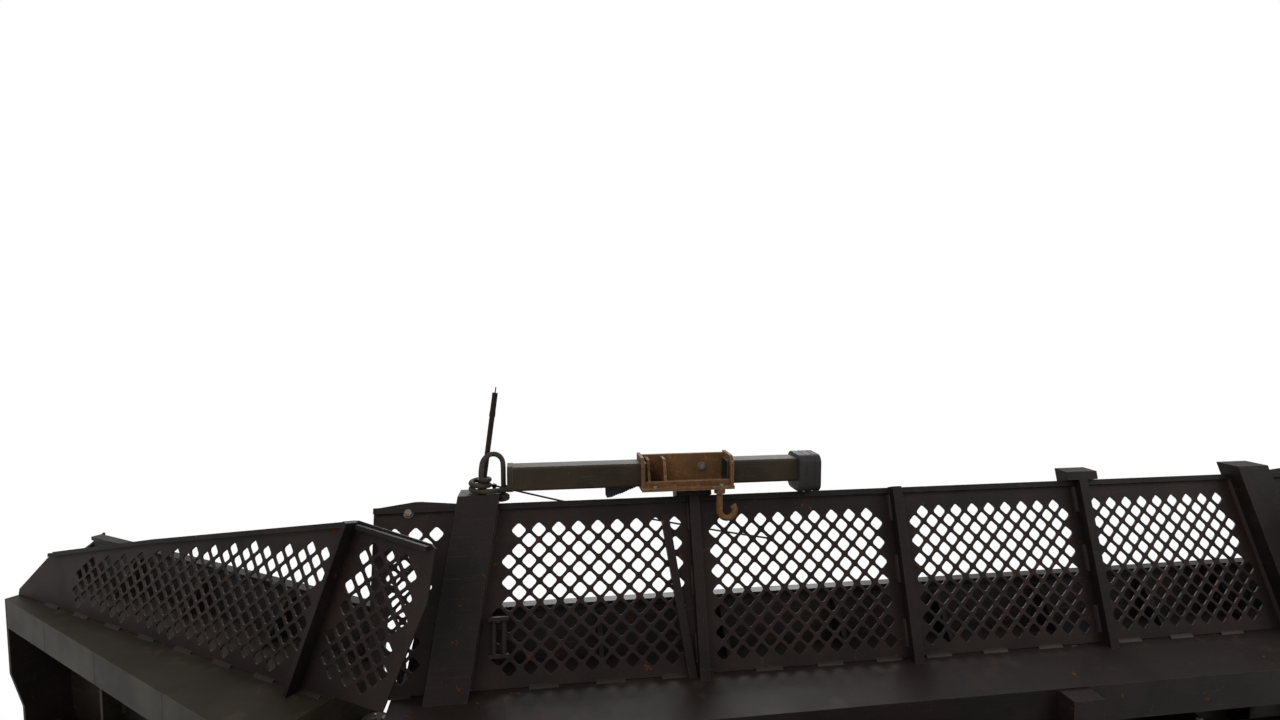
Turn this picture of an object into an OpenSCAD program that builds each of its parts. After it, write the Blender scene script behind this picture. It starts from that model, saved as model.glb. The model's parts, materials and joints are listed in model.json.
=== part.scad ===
// Front snow blade of a slope groomer: perforated guards, folding wings, lift, angle and tilt carrier.
// X to the right, Y forwards in the working direction, Z up.
// The origin is the middle of the rear face of the mounting plate. Millimetres.

/* [Blade] */
// Half width of the centre section, up to the ends of its guard
centre_half = 1352; // [1250:1:1450]
// Distance from the mounting face to the foot of the centre guard
guard_y = 900; // [880:5:960]
// Height of the beam's top, where the guards stand
shelf_z = 320; // [300:5:340]
// Depth of the blade's teeth below the mounting plate's centre
floor_depth = 550; // [530:5:570]
// Radius of the mouldboard's hollow face
mould_r = 1150; // [1100:10:1250]
// Distance of the hollow's deepest line ahead of the guard's foot
belly_y = 95; // [90:1:105]
// Height of the mouldboard's lip above the shelf
lip_rise = 120; // [100:5:140]
// Thickness of the mouldboard
mould_t = 10; // [8:1:12]
// Front to back depth of the top beam and its shelf
shelf_depth = 200; // [180:5:220]
// Height of the top beam
beam_high = 90; // [80:5:100]

/* [Cutting edge] */
// Thickness of the toothed edge
edge_t = 16; // [12:1:20]
// Height of the toothed edge along its slope
edge_high = 170; // [150:5:190]
// Distance from tooth to tooth
tooth_pitch = 75; // [60:5:90]
// Height of a tooth
tooth_high = 42; // [30:2:50]

/* [Guards] */
// Distance from hole to hole along a row
mesh_pitch = 49.5; // [48:0.5:54]
// Corner to corner size of a hole
mesh_hole = 36.8; // [34:0.2:38]
// Thickness of the guard plates
guard_t = 5; // [4:0.5:6]
// Height of the centre guard along its plate
guard_high = 432; // [410:2:450]
// Forward lean of the centre guard
guard_lean = 18.4; // [15:0.1:20]
// Solid margin of the guards above and beside the holes
guard_rim = 26; // [22:1:32]
// Distance of the guard's inner posts from the middle
post_x = 558; // [540:1:600]
// Distance of the hinge posts from the ends of the guard's foot, at their tops
post_inset = 300; // [290:1:310]
// Width of a hinge post
hinge_post_w = 100; // [90:1:110]
// Outward lean of the hinge posts from top to foot
post_lean = 8.8; // [7:0.1:10]
// Forward lean of the wing guards
wing_lean = 11.4; // [10:0.1:13]
// Slope of the hole rows on the wing guards
wing_mesh_slope = 6.6; // [0:0.1:10]

/* [Wings] */
// Length of a wing from its hinge to its tip
wing_length = 1436; // [1380:2:1500]
// Depth of a wing's shelf at its tip
tip_depth = 40; // [30:5:60]
// Forward swing of the wings as they stand
wing_swing = 35; // [32:1:38]
// Distance of the wing hinge ahead of the guard's foot
hinge_y = 45; // [42:1:48]
// Distance of the wing hinge from the middle
hinge_x = 1345; // [1340:1:1350]
// Diameter of the wing hinge pins
hinge_pin_d = 50; // [40:1:52]
// Height of the guard's peak above the shelf, along its plate
peak_high = 410; // [390:2:430]
// Inward slant of the stiffener from foot to peak
peak_slant = 121; // [100:1:130]
// Reach of the guard's flap past the hinge
flap_reach = 205; // [180:5:205]

/* [Carrier] */
// Width of the mounting plate
plate_w = 900; // [890:10:960]
// Height of the mounting plate
plate_h = 520; // [500:10:560]
// Thickness of the mounting plate
plate_t = 25; // [20:1:30]
// Bolt holes' distance across
bolt_x = 830; // [820:5:840]
// Bolt holes' distance up
bolt_z = 430; // [410:5:440]
// Diameter of the bolt holes
bolt_d = 26; // [20:1:30]
// Distance of the lift arms from the middle
arm_x = 330; // [325:1:335]
// Width of a lift arm
arm_w = 80; // [70:1:84]
// Height of the lift pivots and of the swing head, below the origin
axle_drop = 150; // [145:1:155]
// Diameter of the carrier's pins
pin_d = 50; // [40:1:52]

/* [Cross beam] */
// Size of the square tube
tube_size = 60; // [50:1:70]
// Gap between the left hinge post and the square tube
tube_gap = 22; // [20:1:40]
// Length of the square tube from its left end to the end block's face
tube_length = 802; // [780:2:830]
// Height of the tube's middle above the guard's top edge
tube_rise = 70; // [68:1:80]
// Length of the saddle that joins the tube's two lengths
saddle_length = 238; // [220:2:250]
// Height of the saddle's front wall
saddle_high = 78; // [74:1:84]
// Height of the marker rod
rod_high = 265; // [200:5:280]

/* [Hidden] */
$fn = 48;

// Clearances: running fit of a pin, gap beside an eye, gap between pieces that swing past each other
fit = 0.05;
side_gap = 3;
swing_gap = 6;
// Gap between curved pieces that are seated on each other
seat_gap = 0.3;
// Half of the angle between a wing's end and the centre's end when the wing is fully forward
mitre = 31.5;

// Colours
steel_dark = [0.13, 0.11, 0.10];
steel_brown = [0.20, 0.17, 0.14];
olive_brown = [0.27, 0.24, 0.19];
rust = [0.42, 0.26, 0.15];
rod_chrome = [0.75, 0.75, 0.74];
barrel_black = [0.10, 0.10, 0.11];
rubber_black = [0.07, 0.07, 0.07];

// Heights of the mouldboard
lip_z = shelf_z + lip_rise;
belly_z = -20;
edge_anchor_z = -420;
mould_foot_z = -480;

// Y of the hollow face at a height, ahead of the guard's foot
function face_y(z) = belly_y + mould_r - sqrt(mould_r * mould_r - (z - belly_z) * (z - belly_z));
// Slope of the hollow face at a height, from upright
function face_slope(z) = asin((z - belly_z) / mould_r);

// Moves children to the centre guard's plane: x across, y up the plate, z out of its rear face
module on_guard() {
    translate([0, guard_y, shelf_z]) rotate([90 - guard_lean, 0, 0]) children();
}

// Copies of children on both sides, the right one first
module both_sides() {
    children();
    mirror([1, 0, 0]) children();
}

// A child drawn for the right side, put on the side that is asked for
module on_side(side) {
    if (side == "right") children();
    else mirror([1, 0, 0]) children();
}

// Moves children from a wing's own frame to its place: x outward from the hinge, y forward, z up
module on_wing(side) {
    on_side(side) translate([hinge_x, guard_y + hinge_y, 0]) rotate([0, 0, wing_swing]) children();
}

// Extrudes a side profile (y, z) across from x1 to x2
module across(x1, x2) {
    translate([x1, 0, 0]) rotate([90, 0, 90]) linear_extrude(x2 - x1) children();
}

// A pin or tube along an axis, centred on its middle
module round_x(d, length) { rotate([0, 90, 0]) cylinder(d = d, h = length, center = true); }
module round_y(d, length) { rotate([90, 0, 0]) cylinder(d = d, h = length, center = true); }
module round_z(d, length) { cylinder(d = d, h = length, center = true); }

// Side profile of a plate that follows the mouldboard: from its rear by an offset, between two heights
module mould_profile(z_low, z_high, inner = 0, outer = mould_t) {
    intersection() {
        difference() {
            translate([belly_y + mould_r, belly_z]) circle(r = mould_r + outer, $fn = 180);
            translate([belly_y + mould_r, belly_z]) circle(r = mould_r + inner, $fn = 180);
        }
        translate([-200, z_low]) square([700, z_high - z_low]);
    }
}

// Half space outward of a mitred end, to be taken away; turned about the wing's hinge
module mitre_cut(angle) {
    rotate([0, 0, angle]) translate([0, -1500, -1000]) cube([1500, 3000, 2500]);
}

// Places of the carrier's pins, as [y, z] or [x, y]
lift_axis = [110, -axle_drop];
lift_top = [95, 215];
lift_foot = [450, -40];
swing_axis_y = 600;
angle_z = -30;
angle_rear = [175, 225];
angle_front = [240, swing_axis_y + 20];
// Cross beam of the swing head and the trunnion on its front face
head_y = 672;
head_t = 44;
// Half of the space between the fork's plates, where the swing head's hub turns
fork_in = 80;
trunnion_d = 90;
trunnion_length = 89;
tilt_y = 693;
tilt_base = [-150, 60];
tilt_end = [300, 110];
// Wing cylinders: barrel pin as [x, y], and the wing's lever pin from its hinge as [outward, forward]
wing_cyl_z = 60;
wing_base = [800, guard_y - 60];
wing_lever = [40, -140];
lever_place = [
    hinge_x + wing_lever[0] * cos(wing_swing) - wing_lever[1] * sin(wing_swing),
    guard_y + hinge_y + wing_lever[0] * sin(wing_swing) + wing_lever[1] * cos(wing_swing)
];

// Cylinders: pin, eye and lug sizes that all of them share
cyl_pin = 36;
eye_d = 72;
eye_w = 50;
cheek_t = 14;
cheek_in = eye_w / 2 + side_gap;
cheek_out = cheek_in + cheek_t;
lug_r = 36;

// Barrel along Z with its eye at the origin and its pin along X
module barrel(length, d, rod_d) {
    color(barrel_black) difference() {
        union() {
            round_x(eye_d, eye_w);
            translate([0, 0, eye_d / 4]) cylinder(d = eye_w + 2, h = 30);
            translate([0, 0, 40]) cylinder(d = d, h = length - 40);
            translate([0, 0, length - 34]) cylinder(d = d + 6, h = 22);
            translate([d / 2 - 4, 0, 70]) round_x(26, 34);
        }
        round_x(cyl_pin + 2 * fit, eye_w + 2);
        translate([0, 0, 60]) cylinder(d = rod_d + 0.6, h = length);
    }
}

// Rod along Z, drawn from its hidden inner end to its eye at a distance from the barrel's eye
module rod(distance, start, rod_d) {
    color(rod_chrome) {
        translate([0, 0, start]) cylinder(d = rod_d, h = distance - start - eye_d / 2 + 4);
        translate([0, 0, distance - eye_d / 2 - 14]) cylinder(d = rod_d + 14, h = 22);
        translate([0, 0, distance]) round_x(eye_d, eye_w);
    }
}

// Two cheeks of a lug across X, and the pin through them with a head on each side
module lug_x(reach, pin = true) {
    for (s = [-1, 1]) translate([s * (cheek_in + cheek_t / 2), 0, 0]) {
        rotate([0, 90, 0]) linear_extrude(cheek_t, center = true) {
            circle(r = lug_r);
            translate([0, -lug_r]) square([reach, 2 * lug_r]);
        }
        translate([s * (cheek_t / 2 + 5), 0, 0]) round_x(cyl_pin + 12, 10);
    }
    if (pin) round_x(cyl_pin, 2 * cheek_out);
}

// Turns that lay a cylinder drawn along Z between two pins
module lay_yz(from, to, x) {
    d = to - from;
    translate([x, from[0], from[1]]) rotate([-atan2(d[0], d[1]), 0, 0]) children();
}
module lay_xy(from, to, z) {
    d = to - from;
    translate([from[0], from[1], z]) rotate([0, 0, atan2(d[1], d[0])]) rotate([0, 90, 0]) children();
}
module lay_xz(from, to, y) {
    d = to - from;
    translate([from[0], y, from[1]]) rotate([0, atan2(d[0], d[1]), 0]) rotate([0, 0, 90]) children();
}

lift_length = norm(lift_foot - lift_top);
angle_length = norm(angle_front - angle_rear);
tilt_length = norm(tilt_end - tilt_base);
wing_cyl_length = norm(lever_place - wing_base);

// Plate that bolts to the vehicle, with the lugs of the lift arms and lift cylinders
module mounting_plate() {
    arm_gap = arm_w / 2 + side_gap;
    lug_t = 20;
    color(steel_dark) {
        difference() {
            translate([-plate_w / 2, 0, -plate_h / 2]) cube([plate_w, plate_t, plate_h]);
            for (x = [-1, 1], z = [-1, 1]) translate([x * bolt_x / 2, 0, z * bolt_z / 2])
                round_y(bolt_d, 3 * plate_t);
            translate([-110, -1, -plate_h / 2 + 150]) cube([220, plate_t + 2, 220]);
        }
        for (x = [-1, 1]) {
            for (s = [-1, 1]) {
                x0 = x * arm_x + s * (arm_gap + lug_t / 2);
                across(x0 - lug_t / 2, x0 + lug_t / 2) {
                    translate(lift_axis) circle(r = 55);
                    translate([plate_t - 1, lift_axis[1] - 75]) square([lift_axis[0] - plate_t, 130]);
                }
            }
            translate([x * arm_x, lift_axis[0], lift_axis[1]]) {
                round_x(pin_d, 2 * (arm_gap + lug_t) + 16);
            }
            translate([x * arm_x, lift_top[0], lift_top[1]])
                rotate([-90, 0, 0]) lug_x(lift_top[0] - plate_t + 1);
        }
        for (x = [-200, 200]) across(x - 10, x + 10)
            polygon([[plate_t - 1, -240], [60, -180], [45, 120], [plate_t - 1, 240]]);
    }
}

// Push frame: two arms, cross tubes and the fork of the vertical swing pin
module lift_frame() {
    arm_high = 100;
    tube_rear = 130;
    tube_deep = 50;
    fork_t = 30;
    color(steel_dark) {
        difference() {
            union() {
                for (x = [-1, 1]) {
                    across(x * arm_x - arm_w / 2, x * arm_x + arm_w / 2) {
                        translate(lift_axis) circle(r = 50);
                        polygon([
                            [lift_axis[0], lift_axis[1] - 50], [300, lift_axis[1] - 60],
                            [510, lift_axis[1] - 60], [510, lift_axis[1] + 60],
                            [300, lift_axis[1] + arm_high / 2], [lift_axis[0], lift_axis[1] + 50]
                        ]);
                    }
                    translate([x * arm_x, lift_foot[0], lift_foot[1]]) lug_x(80, false);
                }
                translate([-arm_x - arm_w / 2, tube_rear, angle_z - 50])
                    cube([2 * arm_x + arm_w, tube_deep, 70]);
                for (x = [-1, 1]) translate([x * arm_x - arm_w / 2, tube_rear, lift_axis[1] + 40])
                    cube([arm_w, tube_deep, 50]);
                translate([-arm_x, 430, lift_axis[1] - 60]) cube([2 * arm_x, 80, 120]);
                translate([-150, 430, lift_axis[1] - fork_in - fork_t]) cube([300, 60, 2 * (fork_in + fork_t)]);
                for (s = [-1, 1]) translate([0, 0, lift_axis[1] + s * (fork_in + fork_t / 2)])
                    linear_extrude(fork_t, center = true) {
                        translate([0, swing_axis_y]) circle(r = 62);
                        polygon([[-150, 440], [150, 440], [62, swing_axis_y], [-62, swing_axis_y]]);
                    }
                for (x = [-1, 1]) translate([x * angle_rear[0], angle_rear[1], angle_z])
                    rotate([0, 90, 0]) rotate([-90, 0, 0]) lug_x(angle_rear[1] - tube_rear - tube_deep + 5);
            }
            for (x = [-1, 1]) translate([x * arm_x, lift_axis[0], lift_axis[1]])
                round_x(pin_d + 2 * fit, 200);
        }
        translate([0, swing_axis_y, lift_axis[1]]) {
            round_z(pin_d + 20, 2 * (fork_in + fork_t));
            for (s = [-1, 1]) translate([0, 0, s * (fork_in + fork_t + 6)]) round_z(pin_d + 50, 12);
        }
    }
}

// Swing head: hub on the vertical pin, cross beam with the angle lugs, and the tilt trunnion
module swing_head() {
    hub_low = lift_axis[1] - fork_in + seat_gap;
    hub_high = 2 * fork_in - seat_gap - side_gap;
    hub_d = 140;
    web = 120;
    beam = [600, head_t, 210];
    beam_drop = 60;
    color(steel_brown) {
        difference() {
            union() {
                translate([0, swing_axis_y, hub_low]) cylinder(d = hub_d, h = hub_high);
                translate([-web / 2, swing_axis_y, hub_low]) cube([web, head_y + 5 - swing_axis_y, hub_high]);
            }
            translate([0, swing_axis_y, lift_axis[1]]) round_z(pin_d + 20 + 2 * fit, 300);
        }
        translate([-beam[0] / 2, head_y, lift_axis[1] - beam_drop]) cube(beam);
        translate([0, head_y + head_t - 5, lift_axis[1]]) rotate([-90, 0, 0])
            cylinder(d = trunnion_d, h = trunnion_length + 5);
        for (x = [-1, 1]) translate([x * angle_front[0], angle_front[1], angle_z])
            rotate([0, 90, 0]) rotate([90, 0, 0]) lug_x(head_y + 5 - angle_front[1], false);
        translate([tilt_base[0], tilt_y, tilt_base[1]]) rotate([0, 0, 90]) lug_x(62);
        translate([tilt_base[0] - lug_r - 8, tilt_y - cheek_out - 2, -30])
            cube([2 * lug_r + 16, 2 * cheek_out + 4, 36]);
    }
}

// Cylinders of the carrier and wings
lift_d = 76;
lift_rod = 40;
angle_d = 76;
angle_rod = 40;
tilt_d = 70;
tilt_rod_d = 36;
wing_d = 66;
wing_rod_d = 34;
lift_barrel_length = 264;
angle_barrel_length = 256;
tilt_barrel_length = 330;
wing_barrel_length = 520;

module lift_barrel() { lay_yz(lift_top, lift_foot, arm_x) barrel(lift_barrel_length, lift_d, lift_rod); }
module lift_ram() { lay_yz(lift_top, lift_foot, arm_x) rod(lift_length, 190, lift_rod); }
module angle_barrel() {
    lay_xy(angle_rear, angle_front, angle_z) barrel(angle_barrel_length, angle_d, angle_rod);
}
module angle_ram() { lay_xy(angle_rear, angle_front, angle_z) rod(angle_length, 155, angle_rod); }
module tilt_barrel() { lay_xz(tilt_base, tilt_end, tilt_y) barrel(tilt_barrel_length, tilt_d, tilt_rod_d); }
module tilt_ram() { lay_xz(tilt_base, tilt_end, tilt_y) rod(tilt_length, 250, tilt_rod_d); }
module wing_barrel() {
    lay_xy(wing_base, lever_place, wing_cyl_z) barrel(wing_barrel_length, wing_d, wing_rod_d);
}
module wing_ram() { lay_xy(wing_base, lever_place, wing_cyl_z) rod(wing_cyl_length, 440, wing_rod_d); }

// Hinge knuckles: heights of their middles, and the thickness of the wing's lug and the centre's lugs
hinge_levels = [190, -190, -400];
wing_lug_t = 50;
centre_lug_t = 18;
knuckle_r = 38;
end_plate_t = 12;
end_plate_gap = 48;

// Ribs of the centre section, from the middle outward
rib_places = [150, 470, 800, 1060];
rib_t = 12;

// Lower beam, as [rear y from the guard's foot, bottom z, depth, height]
torsion = [-150, -250, 180, 150];

// Outline of a rib behind the mouldboard, as [y from the guard's foot, z]; the hollow is cut from its front
module rib_profile(waist = 20) {
    difference() {
        polygon([
            [-shelf_depth, shelf_z - beam_high], [-shelf_depth, shelf_z], [60, shelf_z],
            [face_y(lip_z) - 50, lip_z - 20], [400, lip_z - 20], [400, mould_foot_z + 10],
            [face_y(mould_foot_z) - 50, mould_foot_z + 10], [waist, -400],
            [torsion[0], torsion[1]], [torsion[0], torsion[1] + torsion[3]],
            [waist, -60], [waist, 150], [-60, shelf_z - beam_high]
        ]);
        translate([belly_y + mould_r, belly_z]) circle(r = mould_r + mould_t + seat_gap, $fn = 180);
    }
}

// Shelf and the beam under it
module shelf_profile() {
    skin = 8;
    difference() {
        polygon([
            [-shelf_depth, shelf_z - beam_high], [-shelf_depth, shelf_z], [300, shelf_z],
            [300, shelf_z - skin], [0, shelf_z - skin], [0, shelf_z - beam_high]
        ]);
        translate([belly_y + mould_r, belly_z]) circle(r = mould_r + mould_t + seat_gap, $fn = 180);
    }
}

// Curved plate with a folded lip bar along its top and a bar along its foot
module mouldboard(x1, x2) {
    across(x1, x2) {
        mould_profile(mould_foot_z, lip_z);
        translate([face_y(lip_z) - 24, lip_z - 3]) square([32, 12]);
    }
}

// Toothed plate on the mouldboard's front, hung so that its teeth end at the blade's depth
module toothed_edge(x1, x2) {
    slope = -face_slope(edge_anchor_z);
    n = floor((x2 - x1) / tooth_pitch);
    step = (x2 - x1) / n;
    root = 0.12;
    tip = 0.32;
    seat = 2.2;
    foot = (edge_anchor_z + floor_depth) / cos(slope);
    translate([0, face_y(edge_anchor_z), edge_anchor_z]) rotate([slope, 0, 0])
        translate([0, edge_t + seat, 0]) rotate([90, 0, 0]) linear_extrude(edge_t)
            polygon(concat(
                [[x2, tooth_high - foot], [x2, edge_high - foot],
                 [x1, edge_high - foot], [x1, tooth_high - foot]],
                [for (i = [0 : n - 1]) each [
                    [x1 + (i + root) * step, tooth_high - foot],
                    [x1 + (i + tip) * step, -foot],
                    [x1 + (i + 1 - tip) * step, -foot],
                    [x1 + (i + 1 - root) * step, tooth_high - foot]
                ]]
            ));
}

// Centre mouldboard, cut at both ends so that the wings can swing forward
module centre_mouldboard() {
    color(steel_dark) translate([0, guard_y, 0]) difference() {
        mouldboard(-hinge_x, hinge_x);
        for (side = ["left", "right"]) on_side(side)
            translate([hinge_x - swing_gap, hinge_y, 0]) mitre_cut(mitre);
    }
}

module centre_edge() {
    color(steel_brown) translate([0, guard_y, 0]) difference() {
        toothed_edge(-hinge_x, hinge_x);
        for (side = ["left", "right"]) on_side(side)
            translate([hinge_x - swing_gap, hinge_y, 0]) mitre_cut(mitre);
    }
}

// Lug plate of a hinge, from an end plate's face to the pin
module hinge_lug(x1, thickness, bore) {
    linear_extrude(thickness, center = true) difference() {
        union() {
            circle(r = knuckle_r);
            translate([min(x1, 0), -knuckle_r]) square([abs(x1), 2 * knuckle_r]);
        }
        if (bore > 0) circle(d = bore);
    }
}

// Beams, ribs and end plates behind the centre mouldboard, the tilt hub and the hinge lugs
module centre_frame() {
    end_x = hinge_x - end_plate_gap;
    hub = [180, 160];
    bore_y = head_y + head_t + 4;
    color(steel_dark) {
        translate([0, guard_y, 0]) {
            difference() {
                across(-end_x, end_x) shelf_profile();
                for (side = ["left", "right"]) on_side(side)
                    translate([hinge_x - swing_gap, hinge_y, 0]) mitre_cut(mitre);
            }
            for (side = ["left", "right"]) on_side(side) {
                for (x = rib_places) across(x - rib_t / 2, x + rib_t / 2) rib_profile();
                difference() {
                    across(end_x - end_plate_t, end_x) rib_profile(36);
                    translate([hinge_x - swing_gap, hinge_y, 0]) mitre_cut(mitre);
                }
                for (z = hinge_levels, s = [-1, 1])
                    translate([hinge_x, hinge_y, z + s * (wing_lug_t / 2 + side_gap + centre_lug_t / 2)])
                        hinge_lug(-end_plate_gap - 1, centre_lug_t, 0);
                translate([wing_base[0], wing_base[1] - guard_y, wing_cyl_z])
                    rotate([0, 90, 0]) rotate([90, 0, 0]) lug_x(belly_y - mould_t - 1 + guard_y - wing_base[1]);
            }
        }
        difference() {
            union() {
                translate([0, guard_y, 0]) across(-end_x, end_x)
                    translate([torsion[0], torsion[1]]) square([torsion[2], torsion[3]]);
                translate([-hub[0] / 2, bore_y, lift_axis[1] - hub[1] / 2])
                    cube([hub[0], guard_y + torsion[0] + 5 - bore_y, hub[1]]);
            }
            translate([0, bore_y - 1, lift_axis[1]]) rotate([-90, 0, 0])
                cylinder(d = trunnion_d + 2 * fit, h = trunnion_length + 6);
        }
        translate([tilt_end[0], tilt_y, tilt_end[1]]) rotate([0, 0, 90]) rotate([180, 0, 0]) lug_x(90, false);
        translate([tilt_end[0] - lug_r - 4, tilt_y - cheek_out - 2, tilt_end[1] + lug_r + 10])
            cube([2 * lug_r + 8, 2 * cheek_out + 4, shelf_z - 14 - tilt_end[1] - lug_r]);
    }
}

// Pins of the wing hinges, one through each pair of lugs, with a head above and below
module wing_pins() {
    head_t = 10;
    half = wing_lug_t / 2 + side_gap + centre_lug_t;
    color(steel_brown) for (side = ["left", "right"], z = hinge_levels)
        on_side(side) translate([hinge_x, guard_y + hinge_y, z]) {
            round_z(hinge_pin_d, wing_lug_t + 2 * side_gap);
            for (s = [-1, 1]) translate([0, 0, s * (half + head_t / 2)]) round_z(hinge_pin_d + 14, head_t);
        }
}

// Signed distance of a point inside a convex outline, drawn anticlockwise: the least over its edges
function depth_in(p, outline) = min([for (i = [0 : len(outline) - 1])
    let (a = outline[i], b = outline[(i + 1) % len(outline)], e = b - a)
    (e[0] * (p[1] - a[1]) - e[1] * (p[0] - a[0])) / norm(e)]);

// A point turned about the origin
function turned(p, a) = [p[0] * cos(a) - p[1] * sin(a), p[0] * sin(a) + p[1] * cos(a)];

// Corners of a hole that stands on its corner
function hole_corners(c, slope) = [for (k = [0 : 3]) c + turned([mesh_hole / 2, 0], 90 * k + slope)];

// Middles of the whole holes that fit in a convex window, on rows through a start point
function hole_places(window, start, slope, columns, rows) = [
    for (j = [-rows : rows], i = [-columns : columns])
        let (c = start + turned([(i + (j % 2 == 0 ? 0 : 0.5)) * mesh_pitch, j * mesh_pitch / 2], slope))
        if (min([for (p = hole_corners(c, slope)) depth_in(p, window)]) > 0) c
];

// A perforated plate: an outline with the whole holes of its windows
module perforated(outline, windows, start, slope, columns, rows) {
    linear_extrude(guard_t) difference() {
        polygon(outline);
        for (w = windows, c = hole_places(w, start, slope, columns, rows))
            polygon(hole_corners(c, slope));
    }
}

// Inner and outer face of a hinge post at the guard's top edge, and how far a face leans outward further down
post_w = 25;
hinge_post = [centre_half - post_inset, centre_half - post_inset + hinge_post_w];
function lean_out(x, s) = x == hinge_post[0] || x == hinge_post[1] ? (guard_high - s) * tan(post_lean) : 0;
// Centre guard: bays between the posts on each side, as [inner x, outer x, columns]
bays = [
    [0, post_x, 14],
    [post_x, hinge_post[0], 11],
    [hinge_post[1], centre_half, 8]
];
bay_gap = 0.5;
// Width and depth of the rail behind the guard's top edge
guard_rail = [14, 10];

// Inner and outer side of a bay's plate at a height up the guard
function bay_inner(b, s) = b[0] + (b[0] == 0 ? 0 : bay_gap) + lean_out(b[0], s);
function bay_outer(b, s) = b[1] - (b[1] == centre_half ? 0 : bay_gap) + lean_out(b[1], s);

module centre_guard() {
    foot_margin = 16;
    side_rim = 20;
    top = guard_high - guard_rim;
    color(steel_brown) on_guard() both_sides() for (b = bays) {
        x2 = bay_outer(b, guard_high);
        outline = b[1] == centre_half
            ? [[bay_inner(b, 0), 0], [x2, 0], [x2, guard_high - 12], [x2 - 6, guard_high],
               [x2 - 96, guard_high + 12], [x2 - 112, guard_high + 12],
               [bay_inner(b, guard_high + 4), guard_high + 4]]
            : [[bay_inner(b, 0), 0], [bay_outer(b, 0), 0], [x2, guard_high],
               [bay_inner(b, guard_high), guard_high]];
        window = [
            [bay_inner(b, foot_margin) + side_rim, foot_margin],
            [bay_outer(b, foot_margin) - side_rim, foot_margin],
            [bay_outer(b, top) - side_rim, top], [bay_inner(b, top) + side_rim, top]
        ];
        perforated(outline, [window], [(bay_inner(b, guard_high) + x2) / 2, guard_high / 2], 0, b[2], 10);
    }
}

// Cuts what stands on the shelf flush with its top
module above_shelf() {
    difference() {
        children();
        translate([-3000, 0, shelf_z - 200]) cube([6000, 3000, 200]);
    }
}

// Cuts a post flat at a height
module flat_below(z) {
    difference() {
        children();
        translate([-3000, 0, z]) cube([6000, 3000, 200]);
    }
}

// Top edge of the centre guard, as [y, z], the top of the hinge posts and the seat of the saddle
guard_top = [guard_y + guard_high * sin(guard_lean), shelf_z + guard_high * cos(guard_lean)];
post_top = guard_top[1] + 33;
hinge_post_front = 12;
hinge_post_deep = 62;
tube_z = guard_top[1] + tube_rise;
saddle_t = 8;
saddle_z = tube_z - tube_size / 2 - saddle_t;

// A flat bar along a line of a guard's plane, on its rear face
module plane_bar(from, to, wide, deep) {
    d = to - from;
    translate([from[0], from[1], guard_t]) rotate([0, 0, atan2(d[1], d[0])])
        translate([0, -wide / 2, 0]) cube([norm(d), wide, deep]);
}

// Side of a hinge post in the guard's plane, from below its foot to above its top
function post_line(x) = [for (s = [-40, guard_high + 80]) [x + lean_out(x, s), s]];

// Posts, rails and hinge posts of the centre guard, the strut beside the left post and the latch
module guard_posts() {
    block = [92, 45];
    post_deep = 30;
    strut = [20, 14];
    into = 6;
    color(steel_dark) above_shelf() flat_below(post_top) on_guard() {
        for (x = [-post_x, 0, post_x]) translate([x - post_w / 2, -post_deep, guard_t])
            cube([post_w, guard_high + post_deep + 2, post_deep]);
        plane_bar([-post_x - 76, guard_high - 46], [-post_x - 26, -20], strut[0], strut[1]);
        both_sides() {
            translate([0, 0, -hinge_post_front]) linear_extrude(hinge_post_deep) polygon([
                post_line(hinge_post[0])[0], post_line(hinge_post[1])[0],
                post_line(hinge_post[1])[1], post_line(hinge_post[0])[1]
            ]);
            for (b = bays) translate([b[0], guard_high - guard_rail[0], guard_t])
                cube([b[1] - b[0] + (b[1] == hinge_post[0] ? into : 0), guard_rail[0], guard_rail[1]]);
        }
    }
    color(steel_dark) flat_below(saddle_z) on_guard()
        for (x = [-post_x, post_x]) translate([x - block[0] / 2, guard_high, -12])
            cube([block[0], block[1], guard_t + 12 + post_deep]);
    color(steel_dark) on_guard() translate([-hinge_post[0], 0, guard_t]) latch();
}

// Latch behind the guard's left bay: two round bars between two plates
module latch() {
    plate = [46, 8, 26];
    bar_d = 14;
    low = 76;
    high = 84;
    for (s = [low, low + high]) translate([-plate[0] / 2, s - plate[1] / 2, 0]) cube(plate);
    for (x = [-12, 12]) translate([x, low, plate[2] / 2]) rotate([-90, 0, 0]) cylinder(d = bar_d, h = high);
}

// Outline of a wing guard in its own plane, anticlockwise: x outward from the hinge, y up the plate
foot_x = 157;
flap_foot = 10;
function peak() = [foot_x - peak_slant, peak_high];
wing_outline = [
    [-flap_reach + peak_slant * 0.8, flap_foot], [48, flap_foot], [52, 0], [wing_length, 0], [wing_length, 18],
    [wing_length - 152, 154], [wing_length - 636, 260], peak(),
    [-flap_reach + 14, peak_high - 22], [-flap_reach, peak_high - 30], [-flap_reach + 6, peak_high - 150]
];
// Windows of holes: the outer triangle and the flap
outer_window = [
    [foot_x + 24, 12], [wing_length - 300, 12], [wing_length - 262, 100], [wing_length - 300, 158],
    [wing_length - 640, 234], [foot_x - peak_slant + 46, peak_high - 34]
];
flap_window = [
    [-flap_reach + peak_slant * 0.8 + 20, 24], [foot_x - 26, 24],
    [foot_x - peak_slant - 16, peak_high - 36],
    [-flap_reach + 24, peak_high - 48], [-flap_reach + 26, peak_high - 150]
];
guard_foot_t = -78;

// Moves children to a wing guard's plane: x outward, y up the plate, z out of its rear face
module on_wing_guard() {
    translate([0, guard_foot_t, shelf_z]) rotate([90 - wing_lean, 0, 0]) children();
}

module wing_guard(side) {
    color(steel_brown) on_wing(side) on_wing_guard()
        perforated(wing_outline, [outer_window, flap_window], [foot_x + 60, peak_high / 2],
            wing_mesh_slope, 26, 15);
}

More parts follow.
